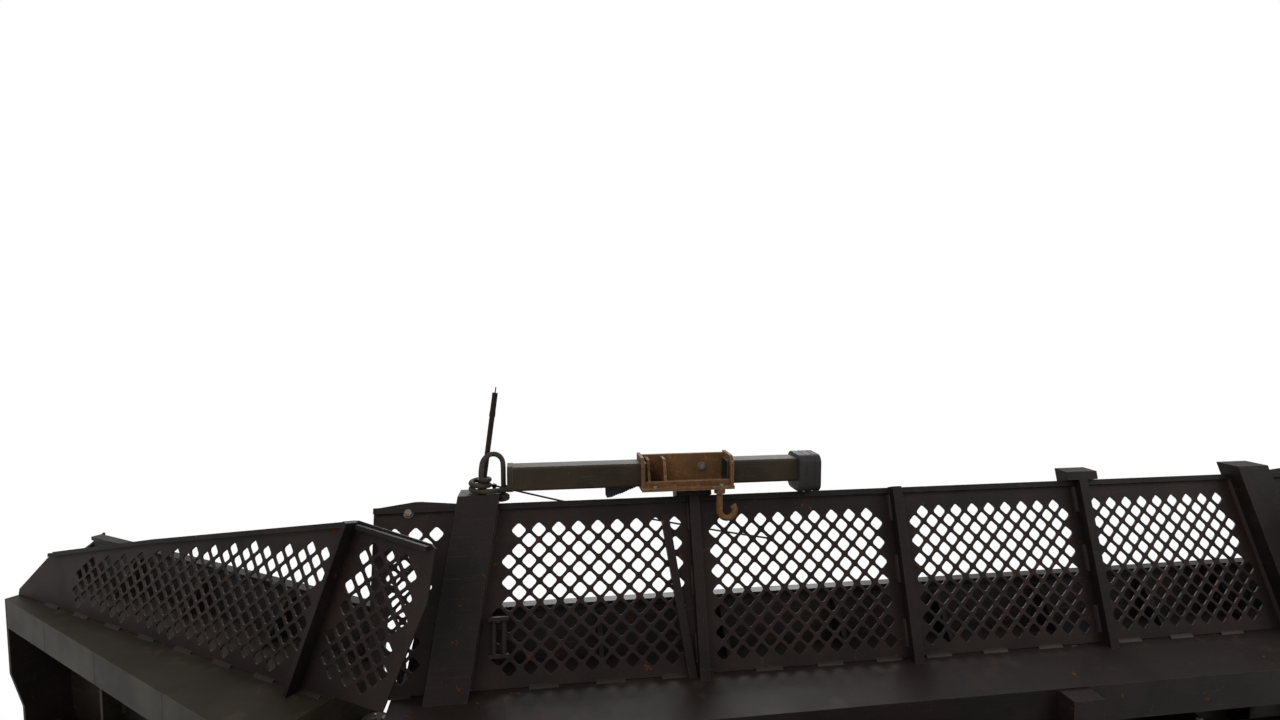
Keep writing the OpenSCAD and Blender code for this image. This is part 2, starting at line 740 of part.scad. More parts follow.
// Stiffener on a wing guard's rear, and the rim bars along its top edges
module wing_stiffener(side) {
    bar = [12, 38];
    rim = [10, 16];
    inset = 7;
    slant = (peak() - [foot_x, 0]) / peak_high;
    color(steel_dark) above_shelf() on_wing(side) on_wing_guard() {
        plane_bar([foot_x, 0] - slant * bar[1], peak() + [1, -2], bar[0], bar[1]);
        plane_bar(peak() + [12, -inset - 3], [wing_length - 636, 260 - inset], rim[0], rim[1]);
        plane_bar([wing_length - 636, 260 - inset], [wing_length - 158, 154 - inset], rim[0], rim[1]);
        plane_bar([-flap_reach + 14, peak_high - 24 - inset], peak() + [-12, -inset - 5], rim[0], rim[1]);
    }
}

// Wing pieces behind and below the guard, in the wing's own frame: the shelf gets narrower towards the tip
wing_rib_places = [430, 800, 1130];
wing_inner = 55;
function shelf_back(x) = guard_foot_t - shelf_depth
    + (shelf_depth - tip_depth) * (x - wing_inner) / (wing_length - wing_inner);

module wing_mouldboard(side) {
    color(steel_dark) on_wing(side) difference() {
        translate([0, -hinge_y, 0]) mouldboard(0, wing_length - end_plate_t);
        mirror([1, 0, 0]) translate([-swing_gap, 0, 0]) mitre_cut(mitre);
    }
}

module wing_edge(side) {
    color(steel_brown) on_wing(side) difference() {
        translate([0, -hinge_y, 0]) toothed_edge(0, wing_length - end_plate_t);
        mirror([1, 0, 0]) translate([-swing_gap, 0, 0]) mitre_cut(mitre);
    }
}

// Beam under a wing's shelf, narrower towards the tip, and the skin from it to the mouldboard
module wing_shelf() {
    skin = 8;
    tip = wing_length - end_plate_t;
    translate([0, 0, shelf_z - beam_high]) linear_extrude(beam_high) polygon([
        [wing_inner, shelf_back(wing_inner)], [tip, shelf_back(tip)],
        [tip, guard_foot_t], [wing_inner, guard_foot_t]
    ]);
    across(wing_inner, tip) difference() {
        translate([guard_foot_t - 2, shelf_z - skin]) square([252 - guard_foot_t, skin]);
        mould_back();
    }
}

// Circle of the mouldboard's rear with the seat's gap, in the wing's own side view
module mould_back() {
    translate([belly_y - hinge_y + mould_r, belly_z]) circle(r = mould_r + mould_t + seat_gap, $fn = 180);
}

// Outline of a wing's rib at a distance from the hinge
module wing_rib_profile(x) {
    waist = -20;
    difference() {
        polygon([
            [shelf_back(x), shelf_z - beam_high], [shelf_back(x), shelf_z], [20, shelf_z],
            [face_y(lip_z) - hinge_y - 50, lip_z - 20], [350, lip_z - 20], [350, mould_foot_z + 10],
            [face_y(mould_foot_z) - hinge_y - 50, mould_foot_z + 10], [waist, -380],
            [waist - 70, -250], [waist - 70, -130], [waist, -40], [waist, 150], [-110, shelf_z - beam_high]
        ]);
        mould_back();
    }
}

module wing_frame(side) {
    lower = [-90, -250, 90, 120];
    color(steel_dark) on_wing(side) {
        across(wing_inner, wing_length - end_plate_t)
            translate([lower[0], lower[1]]) square([lower[2], lower[3]]);
        difference() {
            union() {
                wing_shelf();
                across(wing_inner, wing_inner + end_plate_t) wing_rib_profile(wing_inner);
            }
            mirror([1, 0, 0]) translate([-swing_gap, 0, 0]) mitre_cut(mitre);
        }
        for (x = wing_rib_places) across(x - rib_t / 2, x + rib_t / 2) wing_rib_profile(x);
        for (z = hinge_levels) translate([0, 0, z])
            hinge_lug(wing_inner + 1, wing_lug_t, hinge_pin_d + 2 * fit);
        translate([wing_lever[0], wing_lever[1], wing_cyl_z])
            rotate([0, 90, 0]) rotate([90, 0, 0]) lug_x(-wing_lever[1] + 30, false);
    }
}

// Flat plate at the tip, from the mouldboard's face to the shelf's rear
module wing_end_plate(side) {
    color(steel_dark) on_wing(side) across(wing_length - end_plate_t, wing_length)
        polygon([
            [shelf_back(wing_length), shelf_z - 240], [shelf_back(wing_length), shelf_z], [guard_foot_t, shelf_z],
            [120, lip_z - 20], [face_y(lip_z) - hinge_y + 20, lip_z + 10],
            [face_y(0) - hinge_y + 30, 0], [face_y(-400) - hinge_y + 5, mould_foot_z + 40],
            [-40, mould_foot_z + 40], [-90, -250], [-90, -40]
        ]);
}

tube_y = guard_top[0] - 16;
tube_left = tube_gap - hinge_post[0];
saddle_x = -post_x - 21;
// Collars at the saddle's ends, and how far the tube reaches into them
collar_t = 8;
tube_in = 14;

// Square tube of the accessory beam in two lengths that end in the saddle, its left cap and its end block
module cross_beam() {
    wall = 4;
    cap = 14;
    block = [56, 88, 94];
    block_drop = 9;
    tube_end = tube_left + tube_length - block[0];
    cuts = [
        [tube_left + cap, saddle_x - saddle_length / 2 + tube_in],
        [saddle_x + saddle_length / 2 - tube_in, tube_end]
    ];
    color(olive_brown) translate([0, tube_y, tube_z]) rotate([90, 0, 90]) {
        for (c = cuts) translate([0, 0, c[0]]) linear_extrude(c[1] - c[0]) difference() {
            rounded(tube_size, tube_size, 7);
            rounded(tube_size - 2 * wall, tube_size - 2 * wall, 4);
        }
        translate([0, 0, tube_left]) linear_extrude(cap) rounded(tube_size + 4, tube_size + 4, 12);
    }
    color(rubber_black) translate([tube_end, tube_y, tube_z - block_drop]) rotate([90, 0, 90])
        linear_extrude(block[0]) rounded(block[1], block[2], 20);
}

// Rectangle with round corners, centred
module rounded(wide, high, r) {
    square([wide - 2 * r, high], center = true);
    square([wide, high - 2 * r], center = true);
    for (x = [-1, 1], y = [-1, 1]) translate([x * (wide / 2 - r), y * (high / 2 - r)]) circle(r = r);
}

// Open saddle between the tube's two lengths: base, high front wall, low rear lip, collars and partitions
module saddle_bracket() {
    deep = tube_size + 44;
    inner = tube_size / 2 + 1;
    lip = 22;
    half = saddle_length / 2;
    partitions = [18, 60];
    plate = 6;
    color(rust) translate([saddle_x, tube_y, saddle_z]) {
        translate([-half, -deep / 2, 0]) cube([saddle_length, deep, saddle_t]);
        translate([-half, inner, 0]) cube([saddle_length, saddle_t, saddle_high]);
        translate([-half, -inner - saddle_t, 0]) cube([saddle_length, saddle_t, lip]);
        for (x = [-half, half - collar_t]) across(x, x + collar_t) difference() {
            polygon([
                [-inner - 13, saddle_t - 1], [inner + 13, saddle_t - 1], [inner + 13, saddle_high + 4],
                [-inner + 4, saddle_high + 4], [-inner - 13, saddle_high - 14]
            ]);
            translate([0, saddle_t + tube_size / 2])
                rounded(tube_size + 2 * seat_gap, tube_size + 2 * seat_gap, 7 + seat_gap);
        }
        for (p = partitions) across(p - half, p - half + plate)
            polygon([
                [-inner - 1, saddle_t - 1], [inner + 1, saddle_t - 1], [inner + 1, saddle_high - 4],
                [-inner / 3, saddle_high - 4], [-inner - 1, lip]
            ]);
    }
}

// Hook that hangs from the saddle's base behind the guard
module tow_hook() {
    bar = 16;
    reach = 20;
    drop = 58;
    color(rust) translate([saddle_x + saddle_length / 2 - 36, tube_y - tube_size / 2 - 8, saddle_z]) {
        translate([0, 0, -drop]) cylinder(d = bar, h = drop);
        translate([reach, 0, -drop]) rotate([90, 0, 0]) rotate([0, 0, 180])
            rotate_extrude(angle = 215) translate([reach, 0]) circle(d = bar);
        translate([0, 0, -12]) cylinder(d = bar + 12, h = 12);
    }
}

// Marker rod with its socket, on the left hinge post
rod_x = -hinge_post[0] - 40;
rod_y = guard_top[0] - 8;
module marker_rod() {
    rod_d = 13;
    wire_d = 3;
    tilt = 8;
    color(steel_brown) translate([rod_x, rod_y, post_top]) {
        cylinder(d = 22, h = 34);
        rotate([0, tilt, 0]) translate([0, 0, 20]) {
            cylinder(d = rod_d, h = rod_high - 80);
            translate([0, 0, rod_high - 80]) cylinder(d = wire_d, h = 60);
        }
    }
}

// Rope on the left hinge post: turns round the rod's socket, and a loop from them down to the guard's edge
module hose_loops() {
    $fn = 30;
    rope_d = 13;
    leg_d = rope_d + 0.8;
    turn_r = 22;
    turns = 3;
    loop_top = 70;
    step = rope_d + seat_gap;
    foot = guard_top[1] - post_top + (guard_t + guard_rail[1]) * sin(guard_lean) + seat_gap;
    from = [-2, -turn_r];
    to = [-hinge_post[0] + 12 - rod_x, 0];
    d = to - from;
    color(rubber_black) translate([rod_x, rod_y, post_top]) {
        for (k = [0 : turns - 1]) translate([-4, 0, rope_d / 2 + seat_gap + k * step])
            rotate_extrude() translate([turn_r, 0]) circle(d = rope_d);
        translate([to[0], to[1], foot]) cylinder(d = leg_d, h = loop_top - foot + 1);
        translate([from[0], from[1], turns * step + seat_gap])
            cylinder(d = leg_d, h = loop_top - turns * step - seat_gap + 1);
        translate([(from[0] + to[0]) / 2, (from[1] + to[1]) / 2, loop_top]) rotate([90, 0, atan2(d[1], d[0])])
            rotate_extrude(angle = 180) translate([norm(d) / 2, 0]) circle(d = rope_d);
    }
}

// Tie wire in front of the guard, from a staple on the left hinge post to a clip on a web between the holes
module tie_wire() {
    wire_d = 4;
    clip = [12, 14];
    grip = clip[1] - 3;
    staple = [-hinge_post[0] - 12, guard_top[0] + 16];
    from = [staple[0], staple[1], post_top + grip];
    web = [-(post_x + bay_gap) / 2 - 1.5 * mesh_pitch, guard_high / 2 + 2 * mesh_pitch];
    to = [web[0], guard_y + web[1] * sin(guard_lean) + grip * cos(guard_lean),
        shelf_z + web[1] * cos(guard_lean) - grip * sin(guard_lean)];
    d = to - from;
    color(steel_brown) {
        translate([staple[0], staple[1], post_top]) cylinder(d = clip[0], h = clip[1]);
        translate(from) rotate([0, 0, atan2(d[1], d[0])]) rotate([0, acos(d[2] / norm(d)), 0])
            cylinder(d = wire_d, h = norm(d));
        on_guard() translate([web[0], web[1], -clip[1]]) cylinder(d = clip[0], h = clip[1]);
    }
}

// Torn flap of rubber under the tube
module rubber_flap() {
    thick = 5;
    color(rubber_black) translate([saddle_x - 206, tube_y + 4, tube_z - tube_size / 2]) rotate([90, 0, 0])
        linear_extrude(thick)
            polygon([[0, 0], [0, -18], [18, -31], [34, -20], [48, -28], [74, -18], [78, 0]]);
}

mounting_plate();
lift_frame();
on_side("left") lift_barrel();  // lift_barrel_left
on_side("right") lift_barrel();  // lift_barrel_right
on_side("left") lift_ram();  // lift_rod_left
on_side("right") lift_ram();  // lift_rod_right
swing_head();
on_side("left") angle_barrel();  // angle_barrel_left
on_side("right") angle_barrel();  // angle_barrel_right
on_side("left") angle_ram();  // angle_rod_left
on_side("right") angle_ram();  // angle_rod_right
tilt_barrel();
tilt_ram();  // tilt_rod
centre_mouldboard();
centre_edge();
centre_frame();
centre_guard();
guard_posts();
wing_pins();
cross_beam();
saddle_bracket();
tow_hook();
marker_rod();
hose_loops();
tie_wire();
rubber_flap();
wing_mouldboard("left");  // wing_mouldboard_left
wing_mouldboard("right");  // wing_mouldboard_right
wing_edge("left");  // wing_edge_left
wing_edge("right");  // wing_edge_right
wing_frame("left");  // wing_frame_left
wing_frame("right");  // wing_frame_right
wing_guard("left");  // wing_guard_left
wing_guard("right");  // wing_guard_right
wing_stiffener("left");  // wing_stiffener_left
wing_stiffener("right");  // wing_stiffener_right
wing_end_plate("left");  // wing_end_plate_left
wing_end_plate("right");  // wing_end_plate_right
on_side("left") wing_barrel();  // wing_barrel_left
on_side("right") wing_barrel();  // wing_barrel_right
on_side("left") wing_ram();  // wing_rod_left
on_side("right") wing_ram();  // wing_rod_right
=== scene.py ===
"""Looks of a slope groomer's front snow blade: guards, welds, fasteners, cylinder fittings, worn finishes.

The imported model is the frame. Every length below is in millimetres in the frame's own axes, and the
mesh code turns it to metres: X to the right, Y forwards in the working direction, Z up.
"""

import json
import logging
from collections.abc import Callable
from dataclasses import dataclass
from enum import Enum
from functools import partial

import bmesh
import bpy
import numpy as np
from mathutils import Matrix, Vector
from mathutils.geometry import delaunay_2d_cdt

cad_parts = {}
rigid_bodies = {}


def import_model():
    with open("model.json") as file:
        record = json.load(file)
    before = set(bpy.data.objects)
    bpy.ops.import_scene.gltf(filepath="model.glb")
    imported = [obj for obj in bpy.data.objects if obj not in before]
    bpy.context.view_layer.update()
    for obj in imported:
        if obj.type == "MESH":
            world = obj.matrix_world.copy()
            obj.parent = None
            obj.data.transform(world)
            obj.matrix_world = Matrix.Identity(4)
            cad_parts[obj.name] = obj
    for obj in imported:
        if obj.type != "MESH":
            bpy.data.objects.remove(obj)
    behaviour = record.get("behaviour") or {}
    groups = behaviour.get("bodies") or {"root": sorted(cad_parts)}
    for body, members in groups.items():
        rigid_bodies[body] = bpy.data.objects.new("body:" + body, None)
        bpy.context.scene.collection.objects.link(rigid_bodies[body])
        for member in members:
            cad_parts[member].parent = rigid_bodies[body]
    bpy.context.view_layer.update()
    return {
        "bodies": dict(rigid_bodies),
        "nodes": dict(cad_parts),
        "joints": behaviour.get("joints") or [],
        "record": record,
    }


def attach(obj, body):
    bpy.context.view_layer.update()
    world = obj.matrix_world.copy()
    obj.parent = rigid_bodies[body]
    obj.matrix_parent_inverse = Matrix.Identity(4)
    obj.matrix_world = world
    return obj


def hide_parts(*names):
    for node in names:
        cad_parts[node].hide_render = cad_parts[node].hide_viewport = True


MM = 0.001
MERGE_M = 1e-7
SHARP_DEGREES = 40.0
LOG = logging.getLogger("blade")

Array = np.ndarray
Point = tuple[float, float, float]
Surface = tuple[Array, Array]
Tree = bpy.types.NodeTree
Socket = bpy.types.NodeSocket
Node = bpy.types.Node
Adder = Callable[..., Node]

USUAL = {"MapRange": {"interpolation_type": "SMOOTHSTEP"}, "Mix": {"data_type": "RGBA"}}
PLUS, MINUS, TIMES = ({"operation": name} for name in ("ADD", "SUBTRACT", "MULTIPLY"))


# Plain tools: colours, nodes, placements


def linear(code: str) -> tuple[float, float, float, float]:
    """Turn an sRGB hex colour, such as "2a201e", to linear red, green, blue and an alpha of 1."""
    c = np.array([int(code[i : i + 2], 16) for i in (0, 2, 4)]) / 255.0
    c = np.where(c <= 0.04045, c / 12.92, ((c + 0.055) / 1.055) ** 2.4)
    return (float(c[0]), float(c[1]), float(c[2]), 1.0)


def add(tree: Tree, kind: str, *feeds: object, named: dict | None = None, **settings: object) -> Node:
    """Add one node with its settings, and feed the inputs that its settings leave in use.

    A feed is a number, a vector, a hex colour, an output, None, or a node, whose first output in use counts.

    Args:
        tree: The node tree.
        kind: The node's type name without its ShaderNode prefix.
        feeds: Feeds of the inputs in their order.
        named: Feeds of inputs by name.
        settings: Attributes of the node itself, past the usual ones of its kind.

    Returns:
        The new node.
    """
    node = tree.nodes.new("ShaderNode" + kind)
    for key, value in (USUAL.get(kind, {}) | settings).items():
        setattr(node, key, value)
    used = [socket for socket in node.inputs if socket.enabled]
    by_name = [(node.inputs[key], feed) for key, feed in (named or {}).items()]
    for socket, feed in list(zip(used, feeds)) + by_name:
        if isinstance(feed, Node):
            feed = next(output for output in feed.outputs if output.enabled)
        if isinstance(feed, Socket):
            tree.links.new(feed, socket)
        elif feed is not None:
            socket.default_value = linear(feed) if isinstance(feed, str) else feed
    return node


def per_m(size_mm: float) -> float:
    """Noise scale whose features are about this many millimetres wide."""
    return 1000.0 / size_mm


def turn(axis: str, degrees: float) -> Array:
    """A 4 by 4 turn about a frame axis, anticlockwise seen from the axis's tip."""
    c, s = np.cos(np.radians(degrees)), np.sin(np.radians(degrees))
    i, j = {"x": (1, 2), "y": (2, 0), "z": (0, 1)}[axis]
    m = np.eye(4)
    m[i, i], m[i, j], m[j, i], m[j, j] = c, -s, s, c
    return m


def move(x: float, y: float, z: float) -> Array:
    """A 4 by 4 shift in millimetres."""
    m = np.eye(4)
    m[:3, 3] = (x, y, z)
    return m


MIRROR = {"left": np.diag([-1.0, 1.0, 1.0, 1.0]), "right": np.eye(4)}


def unit(vector: Array) -> Array:
    """The vector at length 1."""
    return np.asarray(vector, float) / np.linalg.norm(vector)


def across(way: Array) -> Array:
    """A direction that isn't near to the given one: Z, or X where that is close to Z."""
    return np.array([0.0, 0.0, 1.0]) if abs(way[2]) < 0.9 else np.array([1.0, 0.0, 0.0])


def along(start: Array, way: Array, pin: Point | None = None) -> Array:
    """A placement at start whose Z points along way, and whose X points along pin, if that is given."""
    z = unit(way)
    x = unit(np.cross(across(z), z)) if pin is None else np.array(pin)
    m = np.eye(4)
    m[:3, :] = np.c_[x, np.cross(z, x), z, start]
    return m


# Meshes as whole arrays


class Shape:
    """Points and faces of one piece, gathered from several surfaces."""

    def __init__(self) -> None:
        """Start with nothing."""
        self.points: list[Array] = []
        self.faces: list[Array] = []
        self.count = 0

    def put(self, points: Array, faces: Array, place: Array | None = None) -> "Shape":
        """Add a closed surface, with its faces turned outward by the sign of its volume.

        Args:
            points: N by 3 points in millimetres.
            faces: M by 3 or M by 4 corner numbers.
            place: 4 by 4 placement.

        Returns:
            The shape itself.
        """
        points = np.asarray(points, float)
        if place is not None:
            points = points @ place[:3, :3].T + place[:3, 3]
        corner = points[faces] - points.mean(0)
        volume = np.einsum("ij,ij->", corner[:, 0], np.cross(corner[:, 1], corner[:, 2]))
        if faces.shape[1] == 4:
            volume += np.einsum("ij,ij->", corner[:, 0], np.cross(corner[:, 2], corner[:, 3]))
        self.points.append(points)
        self.faces.append((faces[:, ::-1] if volume < 0 else faces) + self.count)
        self.count += len(points)
        return self

    def seat(self, surfaces: list[Surface], *places: Array) -> "Shape":
        """Add a fitting's surfaces at each of the places, and return the shape itself."""
        for place in places:
            for surface in surfaces:
                self.put(*surface, place)
        return self

    def build(self, name: str, body: str, finish: bpy.types.Material, slot: str, smooth: bool = True,
              hides: str = "") -> bpy.types.Object:
        """Make the Blender object, dress it and let it ride on its body.

        Args:
            name: The piece's name.
            body: The CAD body that it rides on.
            finish: Its material.
            slot: The record's material slot; not used.
            smooth: Shade smooth where faces meet at a small angle.
            hides: CAD node that the piece stands for.

        Returns:
            The object.
        """
        mesh = bpy.data.meshes.new(name)
        faces = [f for block in self.faces for f in block.tolist()]
        mesh.from_pydata(np.concatenate(self.points) * MM, [], faces)
        work = bmesh.new()
        work.from_mesh(mesh)
        bmesh.ops.remove_doubles(work, verts=work.verts, dist=MERGE_M)
        work.to_mesh(mesh)
        work.free()
        mesh.materials.append(finish)
        if smooth:
            mesh.shade_smooth()
            mesh.set_sharp_from_angle(angle=np.radians(SHARP_DEGREES))
        thing = bpy.data.objects.new(name, mesh)
        bpy.context.scene.collection.objects.link(thing)
        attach(thing, body)
        if hides:
            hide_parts(hides)
        LOG.info("%s: %d points, %d faces", name, self.count, len(faces))
        return thing


def grid_faces(rows: int, columns: int, hoop: bool = False) -> Array:
    """Quads of rings of points that are stored row by row.

    Args:
        rows: Number of rings.
        columns: Points in a ring.
        hoop: Join the last ring to the first.

    Returns:
        M by 4 corner numbers.
    """
    i, j = np.meshgrid(np.arange(rows if hoop else rows - 1), np.arange(columns), indexing="ij")
    low, high, following = i * columns, (i + 1) % rows * columns, (j + 1) % columns
    return np.stack([low + j, low + following, high + following, high + j], -1).reshape(-1, 4)


def closed(rings: Array) -> Surface:
    """Points and quads of N by M by 3 rings, with each end shut by a fan from its ring's middle."""
    caps = np.repeat(rings[[0, -1]].mean(1, keepdims=True), rings.shape[1], 1)
    points = np.concatenate([caps[:1], rings, caps[1:]])
    return points.reshape(-1, 3), grid_faces(len(points), rings.shape[1])


def lathe(profile: list[tuple], segments: int = 24, flats: int = 0, hoop: bool = False) -> Surface:
    """Surface of revolution about Z: (r cos t, r sin t, z) for each profile point (r, z) and angle t.

    With flats, r is multiplied by cos(pi / flats) / cos u, for an angle u from the nearest flat's middle.

    Args:
        profile: Radius and height, from the axis at the bottom, outward and up, to the axis at the top.
        segments: Steps round the axis.
        flats: Number of flats, such as 6 for a hexagon, or 0 for round.
        hoop: The profile is a closed outline off the axis, and the surface a ring.

    Returns:
        Points and quads.
    """
    r, z = np.array(profile, float).T
    t = np.arange(segments) * 2 * np.pi / segments
    half = np.pi / (flats or 1)
    scale = np.cos(half) / np.cos(t % (2 * half) - half) if flats else np.ones(segments)
    height = np.repeat(z[:, None], segments, 1)
    points = np.stack([np.outer(r, scale * np.cos(t)), np.outer(r, scale * np.sin(t)), height], -1)
    return points.reshape(-1, 3), grid_faces(len(r), segments, hoop)


def tube(path: Array, radius: float, segments: int = 12) -> Surface:
    """A closed tube along a path: p(u) + r (cos v N + sin v B), with a frame that turns as little as it can.

    Args:
        path: N by 3 points.
        radius: Its radius.
        segments: Steps round the tube.

    Returns:
        Points and quads, with flat ends.
    """
    tangent = np.gradient(path, axis=0)
    tangent /= np.linalg.norm(tangent, axis=1)[:, None]
    normal = np.zeros_like(path)
    seed = across(tangent[0])
    for k, way in enumerate(tangent):
        seed = unit(seed - way * (seed @ way))
        normal[k] = seed
    v = (np.arange(segments) * 2 * np.pi / segments)[:, None]
    other = np.cross(tangent, normal)
    return closed(path[:, None] + radius * (np.cos(v) * normal[:, None] + np.sin(v) * other[:, None]))


def bead(start: Array, end: Array, legs: tuple[Array, Array], size: float, ripple: float = 5.0) -> Surface:
    """A fillet weld along a line between two faces, with the ripples of its puddles.

    The section is a quarter bulge between the legs, s (a cos v + b sin v), with
    s = size (1 + 0.13 |sin(pi u / ripple)| + 0.08 sin(u / 37)).

    Args:
        start: First point on the corner's line.
        end: Last point.
        legs: Unit vectors from the corner along the two faces.
        size: Leg length.
        ripple: Distance between ripples.

    Returns:
        Points and quads.
    """
    length = np.linalg.norm(end - start)
    u = np.append(np.arange(0.0, length, ripple / 3), length)
    rise = size * (1 + 0.13 * np.abs(np.sin(np.pi * u / ripple)) + 0.08 * np.sin(u / 37.0))
    v = np.linspace(0, np.pi / 2, 4)[:, None]
    a, b = legs
    arc = (np.cos(v) * a + np.sin(v) * b) * np.array([1.0, 0.86, 0.86, 1.0])[:, None]
    section = np.concatenate([arc, -0.12 * (a + b)[None]])
    line = start + (end - start) * (u / length)[:, None]
    return closed(line[:, None] + rise[:, None, None] * section)


def box(low: Point, high: Point, chamfer: float) -> Surface:
    """A flat bar with chamfered edges: an outline (x, y) carried up Z, drawn in by the chamfer at both ends.

    Args:
        low: Lowest corner.
        high: Highest corner.
        chamfer: Width of the chamfer.

    Returns:
        Points and quads.
    """
    (x0, y0, z0), (x1, y1, z1), c = low, high, chamfer
    plan = np.array([[x0 + c, y0], [x1 - c, y0], [x1, y0 + c], [x1, y1 - c],
                     [x1 - c, y1], [x0 + c, y1], [x0, y1 - c], [x0, y0 + c]])
    middle = plan.mean(0)
    small = middle + (plan - middle) * (1 - 2 * c / np.array([x1 - x0, y1 - y0]))
    rows = ((small, z0), (plan, z0 + c), (plan, z1 - c), (small, z1))
    return closed(np.stack([np.c_[ring, np.full(8, z)] for ring, z in rows]))


def corner_ways(slope: float) -> Array:
    """Directions in radians from a hole's middle to its four corners, for rows with this slope in degrees."""
    return np.radians(90 * np.arange(4) + slope)


def round_holes(middles: Array, size: float, radius: float, slope: float, steps: int = 3) -> Array:
    """Outlines of square holes that stand on a corner, with round corners.

    A corner's arc has its middle at (size / 2 - radius sqrt 2) along the corner's way, and spans 90 degrees.

    Args:
        middles: N by 2 middles.
        size: Sharp corner to corner size.
        radius: Corner radius.
        slope: Turn of the hole in degrees.
        steps: Straight pieces in an arc.

    Returns:
        N by 4 (steps + 1) by 2 points, anticlockwise.
    """
    a = corner_ways(slope)[:, None]
    t = np.radians(np.linspace(-45, 45, steps + 1))[None]
    reach = size / 2 - radius * np.sqrt(2)
    parts = (reach * turned(a) + radius * turned(a + t) for turned in (np.cos, np.sin))
    ring = np.stack(list(parts), -1)
    return middles[:, None] + ring.reshape(1, -1, 2)


def hole_middles(window: Array, start: tuple[float, float], pitch: float, size: float, slope: float) -> Array:
    """Middles of the whole holes in a convex window, on staggered rows half a pitch apart.

    A hole is whole when its four corners lie on the inner side of every edge of the window.

    Args:
        window: Anticlockwise outline.
        start: A row's first middle.
        pitch: Distance along a row.
        size: Corner to corner size of a hole.
        slope: Slope of the rows in degrees.

    Returns:
        N by 2 middles.
    """
    i, j = np.meshgrid(np.arange(-34, 35), np.arange(-20, 21))
    x, y = (i + 0.5 * (j % 2)) * pitch, j * pitch / 2
    c, s = np.cos(np.radians(slope)), np.sin(np.radians(slope))
    middles = np.stack([start[0] + x * c - y * s, start[1] + x * s + y * c], -1).reshape(-1, 2)
    a = corner_ways(slope)
    corners = middles[:, None] + size / 2 * np.stack([np.cos(a), np.sin(a)], -1)[None]
    edge = np.roll(window, -1, 0) - window
    off = corners[:, :, None] - window[None, None]
    depth = (edge[:, 0] * off[..., 1] - edge[:, 1] * off[..., 0]) / np.linalg.norm(edge, axis=1)
    return middles[depth.min((1, 2)) > 0]


def pierced_plate(outline: Array, holes: Array, thick: float, chamfer: float = 0.6) -> Surface:
    """A flat plate with holes and broken edges, by a constrained triangulation of its face.

    A boundary point p with inward normal n gives four rings: (p + c n, 0), (p, c), (p, t - c), (p + c n, t).

    Args:
        outline: Anticlockwise outline, N by 2.
        holes: M by K by 2 hole outlines.
        thick: Thickness, from z 0 upwards.
        chamfer: Width of the broken edge.

    Returns:
        Points and triangles.
    """
    rim_count, (hole_count, k, _) = len(outline), holes.shape
    flat = np.concatenate([outline, holes.reshape(-1, 2)])
    loops = [list(range(rim_count))]
    loops += [list(range(rim_count + m * k, rim_count + (m + 1) * k)) for m in range(hole_count)]
    out = delaunay_2d_cdt([Vector(p) for p in flat.tolist()], [], loops, 1, 1e-6, True)
    points = np.array([(p.x, p.y) for p in out[0]])
    tris = np.array([f for f, owners in zip(out[2], out[5]) if owners == [0] and len(f) == 3])
    a, b, c = (points[tris[:, n]] for n in range(3))
    area = (b[:, 0] - a[:, 0]) * (c[:, 1] - a[:, 1]) - (b[:, 1] - a[:, 1]) * (c[:, 0] - a[:, 0])
    tris[area < 0] = tris[area < 0][:, ::-1]
    edges = np.concatenate([tris[:, [0, 1]], tris[:, [1, 2]], tris[:, [2, 0]]])
    n = len(points)
    rim = edges[~np.isin(edges @ [n, 1], edges @ [1, n])]
    d = points[rim[:, 1]] - points[rim[:, 0]]
    inward = np.stack([-d[:, 1], d[:, 0]], -1) / np.linalg.norm(d, axis=1)[:, None]
    total = np.zeros((n, 2))
    np.add.at(total, rim[:, 0], inward)
    np.add.at(total, rim[:, 1], inward)
    total /= np.maximum((total**2).sum(1), 1e-9)[:, None] / 2
    drawn = points + chamfer * total
    rings = [(drawn, 0.0), (points, chamfer), (points, thick - chamfer), (drawn, thick)]
    cloud = np.concatenate([np.c_[p, np.full(n, z)] for p, z in rings])
    faces = [tris[:, ::-1], tris + 3 * n]
    for level in range(3):
        low, high = rim + level * n, rim + (level + 1) * n
        faces += [np.c_[low, high[:, 1]], np.c_[low[:, 0], high[:, ::-1]]]
    return cloud, np.concatenate(faces)


# Finishes


def start_material(name: str) -> tuple[bpy.types.Material, Adder, Socket]:
    """Make an empty node material, with the function that adds its nodes and its Object coordinates."""
    m = bpy.data.materials.new(name)
    m.use_nodes = True
    m.node_tree.nodes.clear()
    node = partial(add, m.node_tree)
    return m, node, node("TexCoord").outputs["Object"]


def finish_surface(node: Adder, colour: Node, rough: Node, bump: Node | None = None,
                   metallic: Node | float = 0.0, specular: float = 0.5) -> None:
    """Join the patterns to the shader and the shader to the output.

    Args:
        node: Adds a node to the material.
        colour: Base colour.
        rough: Roughness.
        bump: Relief, if any.
        metallic: Number or pattern.
        specular: Strength of the clear reflection; chalky enamel has less than the usual 0.5.
    """
    shader = node("BsdfPrincipled", named={"Specular IOR Level": specular, "Base Color": colour,
                                           "Roughness": rough, "Metallic": metallic, "Normal": bump})
    node("OutputMaterial", shader)


